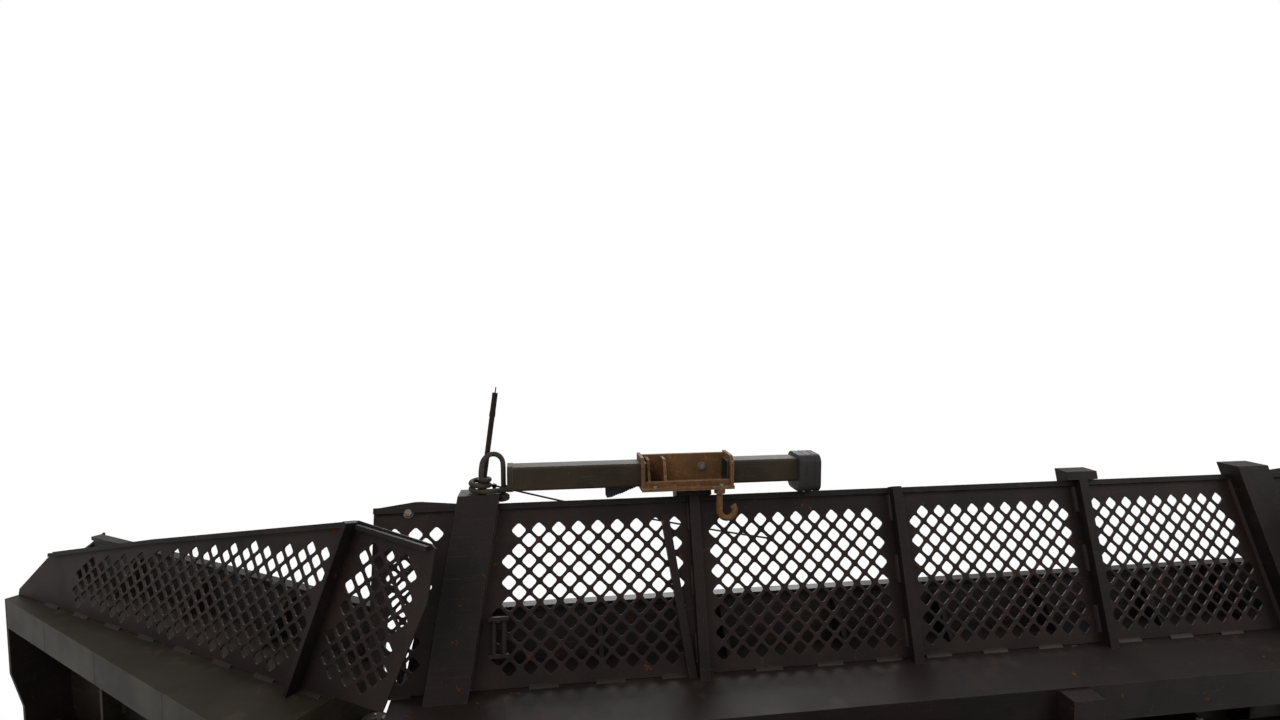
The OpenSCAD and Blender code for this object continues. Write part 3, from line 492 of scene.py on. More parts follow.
@dataclass(frozen=True)
class WornPaint:
    """Sprayed alkyd enamel on rolled plate, weathered outdoors: it goes chalky, chips and rusts in spots."""

    name: str
    paint: str
    shade: str
    rust: str = "301b10"
    rust_light: str = "4d2d18"
    rust_share: float = 0.10
    # Edge colour: worn paint showing metal or primer; on the rusted saddle plate it is also a painted
    # highlight along the edges.
    worn_and_highlit_edge: str = "6a625a"
    edge_mm: float = 2.5
    edge_share: float = 0.55
    gloss: float = 0.46
    dust: str = "575049"
    dust_share: float = 0.28
    streaks: float = 0.35
    sheen: float = 0.14
    scour: tuple[float, float] | None = None
    scoured: tuple[str, str] = ("3a3530", "5c564f")

    def material(self) -> bpy.types.Material:
        """Make the material.

        Patterns: clouds of 160 mm in the paint, rust spots of 42 mm with crumbs of 7 mm, scuffs 3 by 90 mm,
        and an orange peel of 3 mm that the real film has at about 1 mm, drawn coarser so that it shows.

        Returns:
            The material.
        """
        m, node, place = start_material(self.name)
        cloud = node("TexNoise", place, per_m(160), 3, 0.6)
        speck = node("TexNoise", place, per_m(7), 3, 0.7)
        paint = node("Mix", node("MapRange", cloud, 0.38, 0.64), self.paint, self.shade)
        chalk = node("Math", node("MapRange", speck, 0.5, 0.75), 0.22, **TIMES)
        paint = node("Mix", chalk, paint, self.dust)
        long = node("Mapping", place, named={"Scale": (1.0, 1.0, 30.0)})
        scuff = node("TexNoise", long, per_m(90), 2, 0.6)
        line = node("Math", node("MapRange", scuff, 0.60, 0.70), self.streaks, **TIMES)
        paint = node("Mix", line, paint, self.dust)
        crumbs = node("Math", node("Math", speck, 0.5, **MINUS), 0.35, **TIMES)
        patch = node("Math", node("TexNoise", place, per_m(42), 6, 0.68), crumbs, **PLUS)
        limit = 0.72 - 0.55 * self.rust_share
        spots = node("MapRange", patch, limit, limit + 0.05)
        grain = node("MapRange", speck, 0.35, 0.65)
        rusty = node("Mix", grain, self.rust, self.rust_light)
        colour = node("Mix", spots, paint, rusty)
        bright = None
        if self.scour:
            bright, steel = self.scoured_front(node, place, cloud)
            colour = node("Mix", bright, colour, steel)
        facing = node("NewGeometry").outputs["Normal"]
        soft = node("Bevel", self.edge_mm * MM, samples=4)
        same = node("VectorMath", facing, soft, operation="DOT_PRODUCT")
        turned = node("MapRange", same, 0.985, 0.90)
        edge = node("Math", turned, node("MapRange", patch, 0.40, 0.56), **TIMES)
        edge = node("Math", edge, self.edge_share, **TIMES)
        # Edges take the edge colour: real wear, and on the rusted saddle plate also a painted highlight.
        colour = node("Mix", edge, colour, self.worn_and_highlit_edge)
        level = node("MapRange", node("SeparateXYZ", facing).outputs[2], 0.35, 0.95)
        settled = node("Math", level, node("MapRange", cloud, 0.30, 0.62), **TIMES)
        dusty = node("Math", settled, self.dust_share, **TIMES)
        colour = node("Mix", dusty, colour, self.dust)
        rough = node("Math", node("Math", spots, 0.35, **TIMES), node("Math", cloud, 0.22, **TIMES), **PLUS)
        rough = node("Math", node("Math", rough, self.gloss - 0.08, **PLUS), 0.95, operation="MINIMUM")
        metal = node("Math", edge, 0.6, **TIMES)
        if bright is not None:
            rough = node("Math", rough, node("Math", bright, 0.14, **TIMES), **MINUS)
            metal = node("Math", metal, node("Math", bright, 0.7, **TIMES), operation="MAXIMUM")
        peel = node("Math", node("TexNoise", place, per_m(3), 2, 0.5), 0.25, **TIMES)
        scale = node("Math", spots, node("Math", speck, 0.3, **PLUS), **TIMES)
        relief = {"Strength": 0.35, "Distance": 0.6 * MM, "Height": node("Math", peel, scale, **PLUS)}
        finish_surface(node, colour, rough, node("Bump", named=relief), metal, self.sheen)
        return m

    def scoured_front(self, node: Adder, place: Socket, cloud: Node) -> tuple[Node, Node]:
        """Where snow has worn the front to steel: below a height that streaks 16 mm wide and clouds shift.

        Args:
            node: Adds a node to the material.
            place: Object coordinates.
            cloud: The paint's cloud pattern.

        Returns:
            How far the steel shows, and the steel's colour.
        """
        tall = node("Mapping", place, named={"Scale": (1.0, 1.0, 0.07)})
        height = node("SeparateXYZ", place).outputs[2]
        for pattern, reach in ((node("TexNoise", tall, per_m(16), 4, 0.62), 1.1), (cloud, 0.6)):
            shift = node("Math", node("Math", pattern, 0.5, **MINUS), reach, **TIMES)
            height = node("Math", height, shift, **PLUS)
        forward = node("SeparateXYZ", node("TexCoord").outputs["Normal"]).outputs[1]
        worn = node("MapRange", height, self.scour[1] * MM, self.scour[0] * MM)
        worn = node("Math", worn, node("MapRange", forward, 0.05, 0.3), **TIMES)
        fine = node("MapRange", node("TexNoise", tall, per_m(4), 3, 0.6), 0.35, 0.7)
        return node("Math", worn, 0.85, **TIMES), node("Mix", fine, *self.scoured)


@dataclass(frozen=True)
class ScouredSteel:
    """Hardened steel that snow and grit scour bright: grey with long scratches and brown in its hollows."""

    name: str
    bright: str = "77726b"
    dull: str = "453f39"
    rust: str = "432a1a"
    rust_low: float = 0.60
    roughness: float = 0.42

    def material(self) -> bpy.types.Material:
        """Make the material, with scratches 5 mm wide and 40 mm long up the section, and pits of 10 mm.

        Returns:
            The material.
        """
        m, node, place = start_material(self.name)
        long = node("Mapping", place, named={"Scale": (1.0, 0.12, 0.12)})
        scratch = node("TexNoise", long, per_m(5), 4, 0.65)
        cloud = node("Math", node("TexNoise", place, per_m(70), 4, 0.6), 0.7, **TIMES)
        pit = node("TexNoise", place, per_m(10), 4, 0.7)
        lit = node("MapRange", scratch, 0.36, 0.66)
        steel = node("Mix", lit, self.dull, self.bright)
        brown = node("Math", cloud, node("Math", pit, 0.3, **TIMES), **PLUS)
        rust = node("MapRange", brown, self.rust_low - 0.05, self.rust_low + 0.07)
        colour = node("Mix", rust, steel, self.rust)
        worn = node("Math", node("Math", scratch, 0.3, **TIMES), self.roughness - 0.15, **PLUS)
        rough = node("Math", node("Math", rust, 0.35, **TIMES), worn, **PLUS)
        relief = {"Strength": 0.3, "Distance": 0.5 * MM, "Height": node("Math", scratch, pit, **PLUS)}
        metal = node("Math", 0.85, node("Math", rust, 0.8, **TIMES), **MINUS)
        finish_surface(node, colour, rough, node("Bump", named=relief), metal)
        return m


@dataclass(frozen=True)
class HardChrome:
    """Ground and hard-chromed rod: a pale, nearly clear mirror under an oil film, with enamel on its eye."""

    name: str
    tint: str = "c9c9c6"
    oily: str = "a8a59c"
    eye: str = "161516"
    eye_worn: str = "3b3631"
    eye_mm: tuple[float, float] = (50.0, 53.0)

    def material(self) -> bpy.types.Material:
        """Make the material, with oil in clouds of 60 mm, and stains of 12 mm on the eyes.

        An eye is all that lies nearer to its pin's middle than eye_mm.

        Returns:
            The material.
        """
        m, node, place = start_material(self.name)
        away = None
        for ram in all_rams():
            one = node("VectorMath", place, tuple(ram.eye_place() * MM), operation="DISTANCE")
            away = one if away is None else node("Math", away, one, operation="MINIMUM")
        ground = node("MapRange", away, self.eye_mm[0] * MM, self.eye_mm[1] * MM)
        film = node("TexNoise", place, per_m(60), 3, 0.6)
        oil = node("Mix", node("MapRange", film, 0.4, 0.7), self.tint, self.oily)
        stain = node("MapRange", node("TexNoise", place, per_m(12), 4, 0.7), 0.5, 0.62)
        eye = node("Mix", stain, self.eye, self.eye_worn)
        matt = node("Math", 0.42, node("Math", ground, 0.36, **TIMES), **MINUS)
        rough = node("Math", node("Math", film, 0.22, **TIMES), matt, **PLUS)
        finish_surface(node, node("Mix", ground, eye, oil), rough, metallic=ground)
        return m


@dataclass(frozen=True)
class ZincPlate:
    """Zinc-plated fasteners and fittings, dulled to grey with brown corners where the plate has gone."""

    name: str
    tint: str = "77746c"
    dull: str = "57544e"
    rust: str = "55361f"

    def material(self) -> bpy.types.Material:
        """Make the material, with clouds of 30 mm and stains of 9 mm.

        Returns:
            The material.
        """
        m, node, place = start_material(self.name)
        stain = node("TexNoise", place, per_m(9), 4, 0.7)
        rust = node("MapRange", stain, 0.52, 0.62)
        zinc = node("Mix", node("TexNoise", place, per_m(30), 2, 0.5), self.tint, self.dull)
        rough = node("Math", node("Math", rust, 0.35, **TIMES), 0.4, **PLUS)
        bump = node("Bump", named={"Strength": 0.25, "Distance": 0.3 * MM, "Height": stain})
        metal = node("Math", 0.8, node("Math", rust, 0.7, **TIMES), **MINUS)
        finish_surface(node, node("Mix", rust, zinc, self.rust), rough, bump, metal)
        return m


@dataclass(frozen=True)
class SoftCover:
    """Rubber or greasy rope: matt and dark, greyed by ozone and dust, with the print of its cloth or lay."""

    name: str
    black: str
    bloom: str
    weave_mm: float
    roughness: float = 0.55

    def material(self) -> bpy.types.Material:
        """Make the material, with bloom in clouds of 45 mm and the weave as relief.

        Returns:
            The material.
        """
        m, node, place = start_material(self.name)
        cloud = node("TexNoise", place, per_m(45), 3, 0.6)
        weave = node("TexNoise", place, per_m(self.weave_mm), 2, 0.5)
        bloom = node("MapRange", cloud, 0.4, 0.7)
        rough = node("Math", node("Math", cloud, 0.25, **TIMES), self.roughness, **PLUS)
        relief = {"Strength": 0.5, "Distance": 0.15 * self.weave_mm * MM, "Height": weave}
        colour = node("Mix", bloom, self.black, self.bloom)
        finish_surface(node, colour, rough, node("Bump", named=relief), specular=0.25)
        return m


class Finish(Enum):
    """The object's finishes, by the record's material slot."""

    # Thin, years-old enamel on plate: nearly black with a brown cast, matt, dusty on level faces.
    FRAME = WornPaint("black_brown_enamel_on_plate", "191210", "100c0b", rust_share=0.10, dust="2f2823",
                      dust_share=0.12, worn_and_highlit_edge="443a33", gloss=0.52)
    # The wings' beams: the same enamel in a shade that has stayed a little more olive.
    BEAM = WornPaint("olive_brown_enamel_on_beam", "241f17", "19150f", rust_share=0.10, dust="3a342a",
                     dust_share=0.14, worn_and_highlit_edge="4f473b", gloss=0.5)
    # Mouldboards: scraped black enamel with rust spots, worn through to grey steel low on the front.
    MOULD = WornPaint("black_enamel_on_mouldboard", "1b1512", "13100e", rust="2d190f", rust_light="442716",
                      rust_share=0.16, dust="3d3630", dust_share=0.10, streaks=0.5, gloss=0.44,
                      scour=(-430.0, -60.0))
    # Guard plate enamelled after cutting: browner, with brown primer on the holes' edges.
    GUARD = WornPaint("brown_black_enamel_on_guard_plate", "1f1613", "150f0d", rust_share=0.12, worn_and_highlit_edge="41352e",
                      edge_share=0.25, edge_mm=1.4, dust="352b26", dust_share=0.12, streaks=0.2, gloss=0.5)
    # Square tube in olive enamel that the sun has bleached flat.
    TUBE = WornPaint("olive_enamel_on_tube", "302920", "262018", rust="3d2513", rust_light="54371b",
                     rust_share=0.08, dust="403a2f", streaks=0.4, gloss=0.62, sheen=0.1)
    # Hot-rolled plate with its paint gone: brown rust all over, lighter where fresh, and pale edges that are
    # worn metal with a painted highlight laid along them.
    SADDLE = WornPaint("rusted_steel_plate", "4c321f", "5c4128", rust="371f12", rust_light="755330",
                       rust_share=0.34, dust="63503b", gloss=0.68, edge_share=0.6, worn_and_highlit_edge="a08a70")
    # Weld beads under a thick film: black, hardly chipped, so that the ripples catch the light.
    WELD = WornPaint("enamel_on_weld_bead", "1a1310", "150f0c", rust_share=0.04, dust="2e2722",
                     dust_share=0.08, edge_share=0.1)
    # Quenched edge steel that the snow keeps scoured, and chromed rods that wipers keep clean.
    EDGE = ScouredSteel("hardened_edge_steel")
    ROD = HardChrome("hard_chrome")
    # Cylinder tubes in stoved gloss enamel: the one glossy black.
    BARREL = WornPaint("gloss_black_enamel_on_tube", "131314", "19191b", rust_share=0.03, gloss=0.28,
                       dust="35332f", streaks=0.15, sheen=0.4)
    # Moulded rubber is brownish and smooth, the torn sheet a bluer black.
    RUBBER = SoftCover("moulded_rubber", "1c1919", "292525", 2.0)
    FLAP = SoftCover("rubber_sheet", "17171d", "24242b", 2.0)
    # Laid and drawn steel: dark with old oil, browned by rust.
    ROPE = SoftCover("oiled_wire_rope", "27231c", "39332a", 3.5, 0.7)
    WIRE = ScouredSteel("drawn_steel_wire", bright="38302a", dull="211b17", rust="38220f")
    # Zinc-plated bolts and nipples: the palest grey on the blade.
    ZINC = ZincPlate("dull_zinc_plate")


SLOTS = {
    "dark_steel": Finish.FRAME, "brown_steel": Finish.GUARD, "olive_tube": Finish.TUBE,
    "rusty_steel": Finish.SADDLE, "edge_steel": Finish.EDGE, "chrome_rod": Finish.ROD,
    "black_barrel": Finish.BARREL, "black_rubber": Finish.RUBBER,
}
OWN_FINISH = {
    "centre_mouldboard": Finish.MOULD, "wing_mouldboard_left": Finish.MOULD,
    "wing_mouldboard_right": Finish.MOULD, "wing_frame_left": Finish.BEAM,
    "wing_frame_right": Finish.BEAM, "marker_rod": Finish.GUARD,
}


class Palette:
    """Makes each finish once and dresses the CAD nodes by their slots."""

    def __init__(self) -> None:
        """Start with no material made."""
        self.made: dict[Finish, bpy.types.Material] = {}

    def __getitem__(self, finish: Finish) -> bpy.types.Material:
        """The finish's material, made at its first use."""
        if finish not in self.made:
            self.made[finish] = finish.value.material()
        return self.made[finish]

    def dress(self, frame: dict) -> None:
        for part in frame["record"]["subparts"]:
            thing = frame["nodes"][part["node"]]
            thing.data.materials.clear()
            thing.data.materials.append(self[OWN_FINISH.get(part["node"], SLOTS[part["material_slot"]])])
            LOG.info("%s dressed as %s", part["node"], part["material_slot"])


# The object's sub-assemblies


@dataclass(frozen=True)
class Plan:
    """Sizes and places that several sub-assemblies share, as in the part's source."""

    centre_half: float = 1352.0
    guard_y: float = 900.0
    shelf_z: float = 320.0
    beam_high: float = 90.0
    mould_r: float = 1150.0
    mould_t: float = 10.0
    belly: tuple[float, float] = (95.0, -20.0)
    edge_anchor_z: float = -420.0
    edge_front: float = 18.2
    guard_t: float = 5.0
    guard_high: float = 432.0
    guard_lean: float = 18.4
    rim: float = 26.0
    pitch: float = 49.5
    post_x: float = 558.0
    post_w: float = 25.0
    hinge_post: tuple[float, float] = (1052.0, 1152.0)
    post_lean: float = 8.8
    post_rise: float = 33.0
    hinge: tuple[float, float] = (1345.0, 45.0)
    hinge_levels: tuple[float, ...] = (190.0, -190.0, -400.0)
    wing_swing: float = 35.0
    wing_lean: float = 11.4
    wing_mesh_slope: float = 6.6
    wing_length: float = 1436.0
    wing_foot: float = -78.0
    torsion: tuple[float, float, float, float] = (-150.0, -250.0, 180.0, 150.0)
    wing_lower: tuple[float, float, float, float] = (-90.0, -250.0, 90.0, 120.0)
    ribs: tuple[float, ...] = (150.0, 470.0, 800.0, 1060.0)
    wing_ribs: tuple[float, ...] = (430.0, 800.0, 1130.0)
    rib_t: float = 12.0
    end_plate_t: float = 12.0

    def bays(self) -> tuple[tuple[float, float], ...]:
        """Starts and ends of the centre guard's three bays on one side."""
        return (0.0, self.post_x), (self.post_x, self.hinge_post[0]), (self.hinge_post[1], self.centre_half)

    def on_centre(self, side: str = "right") -> Array:
        """Placement of the centre guard's plane: x across, y up the plate, z out of its rear face."""
        return MIRROR[side] @ move(0, self.guard_y, self.shelf_z) @ turn("x", 90 - self.guard_lean)

    def on_wing(self, side: str) -> Array:
        """Placement of a wing's frame: x outward from its hinge, y forward, z up."""
        x, y = self.hinge
        return MIRROR[side] @ move(x, self.guard_y + y, 0) @ turn("z", self.wing_swing)

    def on_wing_guard(self, side: str) -> Array:
        """Placement of a wing guard's plane."""
        return self.on_wing(side) @ move(0, self.wing_foot, self.shelf_z) @ turn("x", 90 - self.wing_lean)

    def lean_out(self, x: float, s: float) -> float:
        """How far a hinge post's face leans outward at a height up the guard; 0 for any other place."""
        out = (self.guard_high - s) * float(np.tan(np.radians(self.post_lean)))
        return out if x in self.hinge_post else 0.0

    def up_guard(self, s: float) -> tuple[float, float]:
        """Place (y, z) on the centre guard at a height up the plate."""
        a = np.radians(self.guard_lean)
        return self.guard_y + s * float(np.sin(a)), self.shelf_z + s * float(np.cos(a))

    def on_edge(self) -> Array:
        """Placement of a toothed edge in its section's frame: x along, y out of its front, z up its slope.

        The edge touches the mouldboard's front at the anchor, at the slope asin((belly z - anchor z) / r).
        """
        r, (y, z), anchor = self.mould_r, self.belly, self.edge_anchor_z
        face = y + r - float(np.sqrt(r * r - (anchor - z) ** 2))
        return move(0, face, anchor) @ turn("x", float(np.degrees(np.arcsin((z - anchor) / r))))

    def rear_of_mould(self, angle: float) -> Array:
        """Point (0, y, z) of the mouldboard's rear at an angle above its belly: r' = mould_r + mould_t."""
        r, a = self.mould_r + self.mould_t, np.radians(angle)
        return np.array([0.0, self.belly[0] + self.mould_r - r * np.cos(a), self.belly[1] + r * np.sin(a)])


@dataclass
class Assembly:
    """A sub-assembly: the plan that it follows and the finishes that dress it."""

    plan: Plan
    palette: Palette


@dataclass
class Guards(Assembly):
    """Laser-cut guard plates of the centre section and the wings."""

    hole: float = 36.8
    hole_growth: float = 1.6
    corner: float = 6.5
    foot: float = 16.0
    margin: float = 20.0
    gap: float = 0.5
    peak_high: float = 410.0
    peak_slant: float = 121.0
    flap_reach: float = 205.0
    foot_x: float = 157.0

    def plate(self, outline: list, windows: list, start: tuple[float, float], slope: float) -> Surface:
        """One perforated plate.

        Args:
            outline: Anticlockwise outline.
            windows: Convex windows that hold the holes.
            start: Middle of one hole.
            slope: Slope of the rows in degrees.

        Returns:
            Points and triangles.
        """
        fields = [hole_middles(np.array(w, float), start, self.plan.pitch, self.hole, slope) for w in windows]
        holes = round_holes(np.concatenate(fields), self.hole + self.hole_growth, self.corner, slope)
        return pierced_plate(np.array(outline, float), holes, self.plan.guard_t)

    def centre(self) -> None:
        """Build the six plates of the centre guard, bay by bay, on both sides."""
        shape, plan = Shape(), self.plan
        margin, gap, high = self.margin, self.gap, plan.guard_high
        levels = (0, self.foot, high - plan.rim, high)
        for a, b in plan.bays():
            last = b == plan.centre_half
            near = [a + (gap if a else gap / 2) + plan.lean_out(a, s) for s in levels]
            far = [b - (0 if last else gap) + plan.lean_out(b, s) for s in levels]
            outline = [[near[0], 0], [far[0], 0], [far[3], high], [near[3], high]]
            if last:
                ear = [[b, high - 12], [b - 6, high], [b - 96, high + 12], [b - 112, high + 12]]
                outline = [[near[0], 0], [b, 0], *ear, [near[3] - 0.6, high + 4]]
            window = [[near[1] + margin, levels[1]], [far[1] - margin, levels[1]],
                      [far[2] - margin, levels[2]], [near[2] + margin, levels[2]]]
            start = ((a + (gap if a else 0) + far[3]) / 2, high / 2)
            plate = self.plate(outline, [window], start, 0.0)
            shape.seat([plate], *(plan.on_centre(side) for side in MIRROR))
        shape.build("guard_plates_centre", "blade", self.palette[Finish.GUARD], "brown_steel", smooth=False,
                    hides="centre_guard")

    def wing(self, side: str) -> None:
        """Build a wing's guard plate with its flap past the hinge."""
        reach, foot, slant, length = self.flap_reach, self.foot_x, self.peak_slant, self.plan.wing_length
        top, low = self.peak_high, slant * 0.8 - reach
        outline = [[low, 10], [48, 10], [52, 0], [length, 0], [length, 18], [length - 152, 154],
                   [length - 636, 260], [foot - slant, top], [14 - reach, top - 22], [-reach, top - 30],
                   [6 - reach, top - 150]]
        outer = [[foot + 24, 12], [length - 300, 12], [length - 262, 100], [length - 300, 158],
                 [length - 640, 234], [foot - slant + 46, top - 34]]
        flap = [[low + 20, 24], [foot - 26, 24], [foot - slant - 16, top - 36], [24 - reach, top - 48],
                [26 - reach, top - 150]]
        plate = self.plate(outline, [outer, flap], (foot + 60, top / 2), self.plan.wing_mesh_slope)
        shape = Shape().put(*plate, self.plan.on_wing_guard(side))
        shape.build(f"guard_plate_wing_{side}", f"wing_{side}", self.palette[Finish.GUARD], "brown_steel",
                    smooth=False, hides=f"wing_guard_{side}")


@dataclass
class Welds(Assembly):
    """Fillet welds where plates meet, laid by hand in runs."""

    leg: float = 6.0
    run: float = 70.0
    step: float = 160.0
    short: float = 4.0
    under_shelf: tuple[float, float] = (-130.0, -66.0)
    up_mould: tuple[float, float, float] = (-21.0, 18.0, 6.5)
    mould_run: float = 3.2
    wing_foot: tuple[float, float] = (60.0, 30.0)

    def line(self, shape: Shape, start: Point, end: Point, legs: tuple, place: Array,
             broken: bool = False) -> None:
        """Lay one weld, whole or in stitches.

        Args:
            shape: The piece that gets it.
            start: First point.
            end: Last point.
            legs: Two directions from the corner along the faces that meet.
            place: Placement of the points.
            broken: Lay stitches of one run every step.
        """
        a, b = np.array(start, float), np.array(end, float)
        ways, way, length = tuple(unit(leg) for leg in legs), unit(b - a), float(np.linalg.norm(b - a))
        run = self.run if broken else length
        for u in np.arange(0.3 * run, length - run, self.step) if broken else (0.0,):
            shape.put(*bead(a + way * u, a + way * (u + run), ways, self.leg), place)

    def upright(self, shape: Shape, x: float, low: float, high: float, place: Array) -> None:
        """Lay the two welds of an upright bar on a guard's rear face.

        Args:
            shape: The piece that gets them.
            x: The bar's middle.
            low: Lower end up the guard.
            high: Upper end.
            place: The guard's plane.
        """
        t = self.plan.guard_t
        for sign in (-1, 1):
            side = x + sign * self.plan.post_w / 2
            self.line(shape, (side, low, t), (side, high, t), ((sign, 0, 0), (0, 0, 1)), place, broken=True)

    def rib(self, shape: Shape, x: float, beam: tuple, place: Array, shift: float) -> None:
        """Lay the welds of one rib: to the shelf's beam, to the lower beam and along the mouldboard.

        Args:
            shape: The piece that gets them.
            x: The rib's middle.
            beam: Lower beam as rear y, bottom z, depth and height.
            place: The section's frame.
            shift: How far the section's frame is ahead of the guard's foot.
        """
        plan = self.plan
        under, (y, z, deep, high) = plan.shelf_z - plan.beam_high, beam
        for sign in (-1, 1):
            face, out = x + sign * plan.rib_t / 2, (sign, 0, 0)
            start, end = y + self.short, y + deep
            runs = (start, end, z + high, 1), (start, end, z, -1), (*self.under_shelf, under, -1)
            for near, far, level, up in runs:
                self.line(shape, (face, near, level), (face, far, level), (out, (0, 0, up)), place)
            for a in np.arange(*self.up_mould):
                ends = (plan.rear_of_mould(v) + (face, -shift, 0) for v in (a, a + self.mould_run))
                self.line(shape, *ends, (out, (0, -1, 0)), place)

    def foot(self, shape: Shape, x1: float, x2: float, lean: float, place: Array) -> None:
        """Lay the stitches between a guard's foot and the shelf, from x1 to x2, on a guard with this lean."""
        t, a = self.plan.guard_t, np.radians(lean)
        s = -t * float(np.tan(a))
        self.line(shape, (x1, s, t), (x2, s, t), ((0, -np.sin(a), np.cos(a)), (0, 1, 0)), place, broken=True)

    def centre(self) -> None:
        """Lay the welds of the centre section."""
        plan, shape = self.plan, Shape()
        h = plan.guard_high
        for side in MIRROR:
            place = plan.on_centre(side)
            for a, b in plan.bays():
                ends = a + plan.post_w / 2 + plan.lean_out(a, 0), b - plan.post_w / 2 + plan.lean_out(b, 0)
                self.foot(shape, *ends, plan.guard_lean, place)
            for x, sign in zip(plan.hinge_post, (-1, 1)):
                low, high = x + plan.lean_out(x, 0), x + plan.lean_out(x, h)
                for z, up in ((plan.guard_t, 1), (0, -1)):
                    self.line(shape, (low, 0, z), (high, h, z), ((sign, 0, 0), (0, 0, up)), place)
            for x in plan.ribs:
                self.rib(shape, x, plan.torsion, MIRROR[side] @ move(0, plan.guard_y, 0), 0.0)
        for x in (-plan.post_x, 0.0, plan.post_x):
            self.upright(shape, x, self.short, h - 4 * self.short, plan.on_centre())
        shape.build("welds_centre", "blade", self.palette[Finish.WELD], "dark_steel")

    def wing(self, side: str) -> None:
        """Lay the welds of a wing."""
        plan, shape, place = self.plan, Shape(), self.plan.on_wing(side)
        near, far = self.wing_foot
        self.foot(shape, near, plan.wing_length - far, plan.wing_lean, plan.on_wing_guard(side))
        for x in plan.wing_ribs:
            self.rib(shape, x, plan.wing_lower, place, plan.hinge[1])
        end, (y, z, deep, high) = plan.wing_length - plan.end_plate_t, plan.wing_lower
        for level, up in ((z, -1), (z + high, 1)):
            start = (end, y + self.short, level)
            self.line(shape, start, (end, y + deep, level), ((-1, 0, 0), (0, 0, up)), place)
        shape.build(f"welds_wing_{side}", f"wing_{side}", self.palette[Finish.WELD], "dark_steel")


def hex_bolt(over_flats: float, height: float, washer: float = 0.0) -> list[Surface]:
    """A hexagon head with a chamfered top on its washer, seated on Z = 0.

    Args:
        over_flats: Size across the flats.
        height: Height of the head.
        washer: Diameter of the washer, 0 for none.

    Returns:
        The surfaces.
    """
    r, w, t = over_flats / np.sqrt(3), washer / 2, 2.5 if washer else 0.0
    top = t + height
    edge = top - 0.12 * over_flats
    profile = [(0, t - 0.5), (r, t - 0.5), (r, edge), (0.84 * r, top), (0.3 * r, top), (0, top)]
    ring = [(0, -0.5), (w, -0.5), (w, t - 0.5), (w - 0.5, t), (0, t)]
    return ([lathe(ring)] if washer else []) + [lathe(profile, flats=6)]


def nipple() -> list[Surface]:
    """A grease nipple along Z: hexagon, neck and ball."""
    return [lathe([(0, -1), (5, -1), (5, 4), (0, 4)], 18, 6),
            lathe([(0, 3), (2.6, 3), (2.6, 7), (3.4, 9), (3.2, 12), (1.6, 13), (0, 13)], 14)]


@dataclass
class Fasteners(Assembly):
    """Plough bolts of the edges, the guard's bolts, and the nipples and bolts on the hinge pins."""

    edge_pitch: float = 150.0
    edge_z: float = -12.0
    plough_d: float = 30.0
    centre_row: tuple[float, float] = (-1200.0, 1201.0)
    wing_row: tuple[float, float] = (300.0, 60.0)
    ear: tuple[float, float] = (1270.0, 418.0)
    pin_rise: float = 56.0
    pin_bolt: float = 22.0

    def edge_row(self, shape: Shape, start: float, end: float, place: Array) -> None:
        """Set a row of plough bolts in a toothed edge, with a shallow dome and a worn square in the middle.

        Args:
            shape: The piece that gets them.
            start: First place along the edge.
            end: Last place.
            place: The section's frame.
        """
        r = self.plough_d / 2
        head = lathe([(0, -2), (r, -2), (r, 0.2), (r - 2, 1.6), (r * 0.5, 2.4), (0, 2.6)], 20)
        square = lathe([(0, 2), (6, 2), (6, 3.4), (5, 3.8), (0, 3.8)], 16, 4)
        front = place @ self.plan.on_edge() @ move(0, self.plan.edge_front, self.edge_z) @ turn("x", -90)
        shape.seat([head, square], *(front @ move(x, 0, 0) for x in np.arange(start, end, self.edge_pitch)))

    def centre(self) -> None:
        """Set the centre section's bolts and the nipples of the hinge pins."""
        plan, shape = self.plan, Shape()
        self.edge_row(shape, *self.centre_row, move(0, plan.guard_y, 0))
        x, y = plan.hinge
        for side, mirror in MIRROR.items():
            shape.seat(hex_bolt(19, 8, 26), plan.on_centre(side) @ move(*self.ear, plan.guard_t))
            tops = [mirror @ move(x, plan.guard_y + y, z + self.pin_rise) for z in plan.hinge_levels]
            shape.seat(nipple(), *tops)
            shape.seat(hex_bolt(13, 5), *(top @ move(-self.pin_bolt, 0, 0) for top in tops))
        shape.build("fasteners_centre", "blade", self.palette[Finish.ZINC], "edge_steel")

    def wing(self, side: str) -> None:
        """Set a wing's bolts."""
        plan, shape = self.plan, Shape()
        first, short = self.wing_row
        place = plan.on_wing(side) @ move(0, -plan.hinge[1], 0)
        self.edge_row(shape, first, plan.wing_length - short, place)
        shape.build(f"fasteners_wing_{side}", f"wing_{side}", self.palette[Finish.ZINC], "edge_steel")


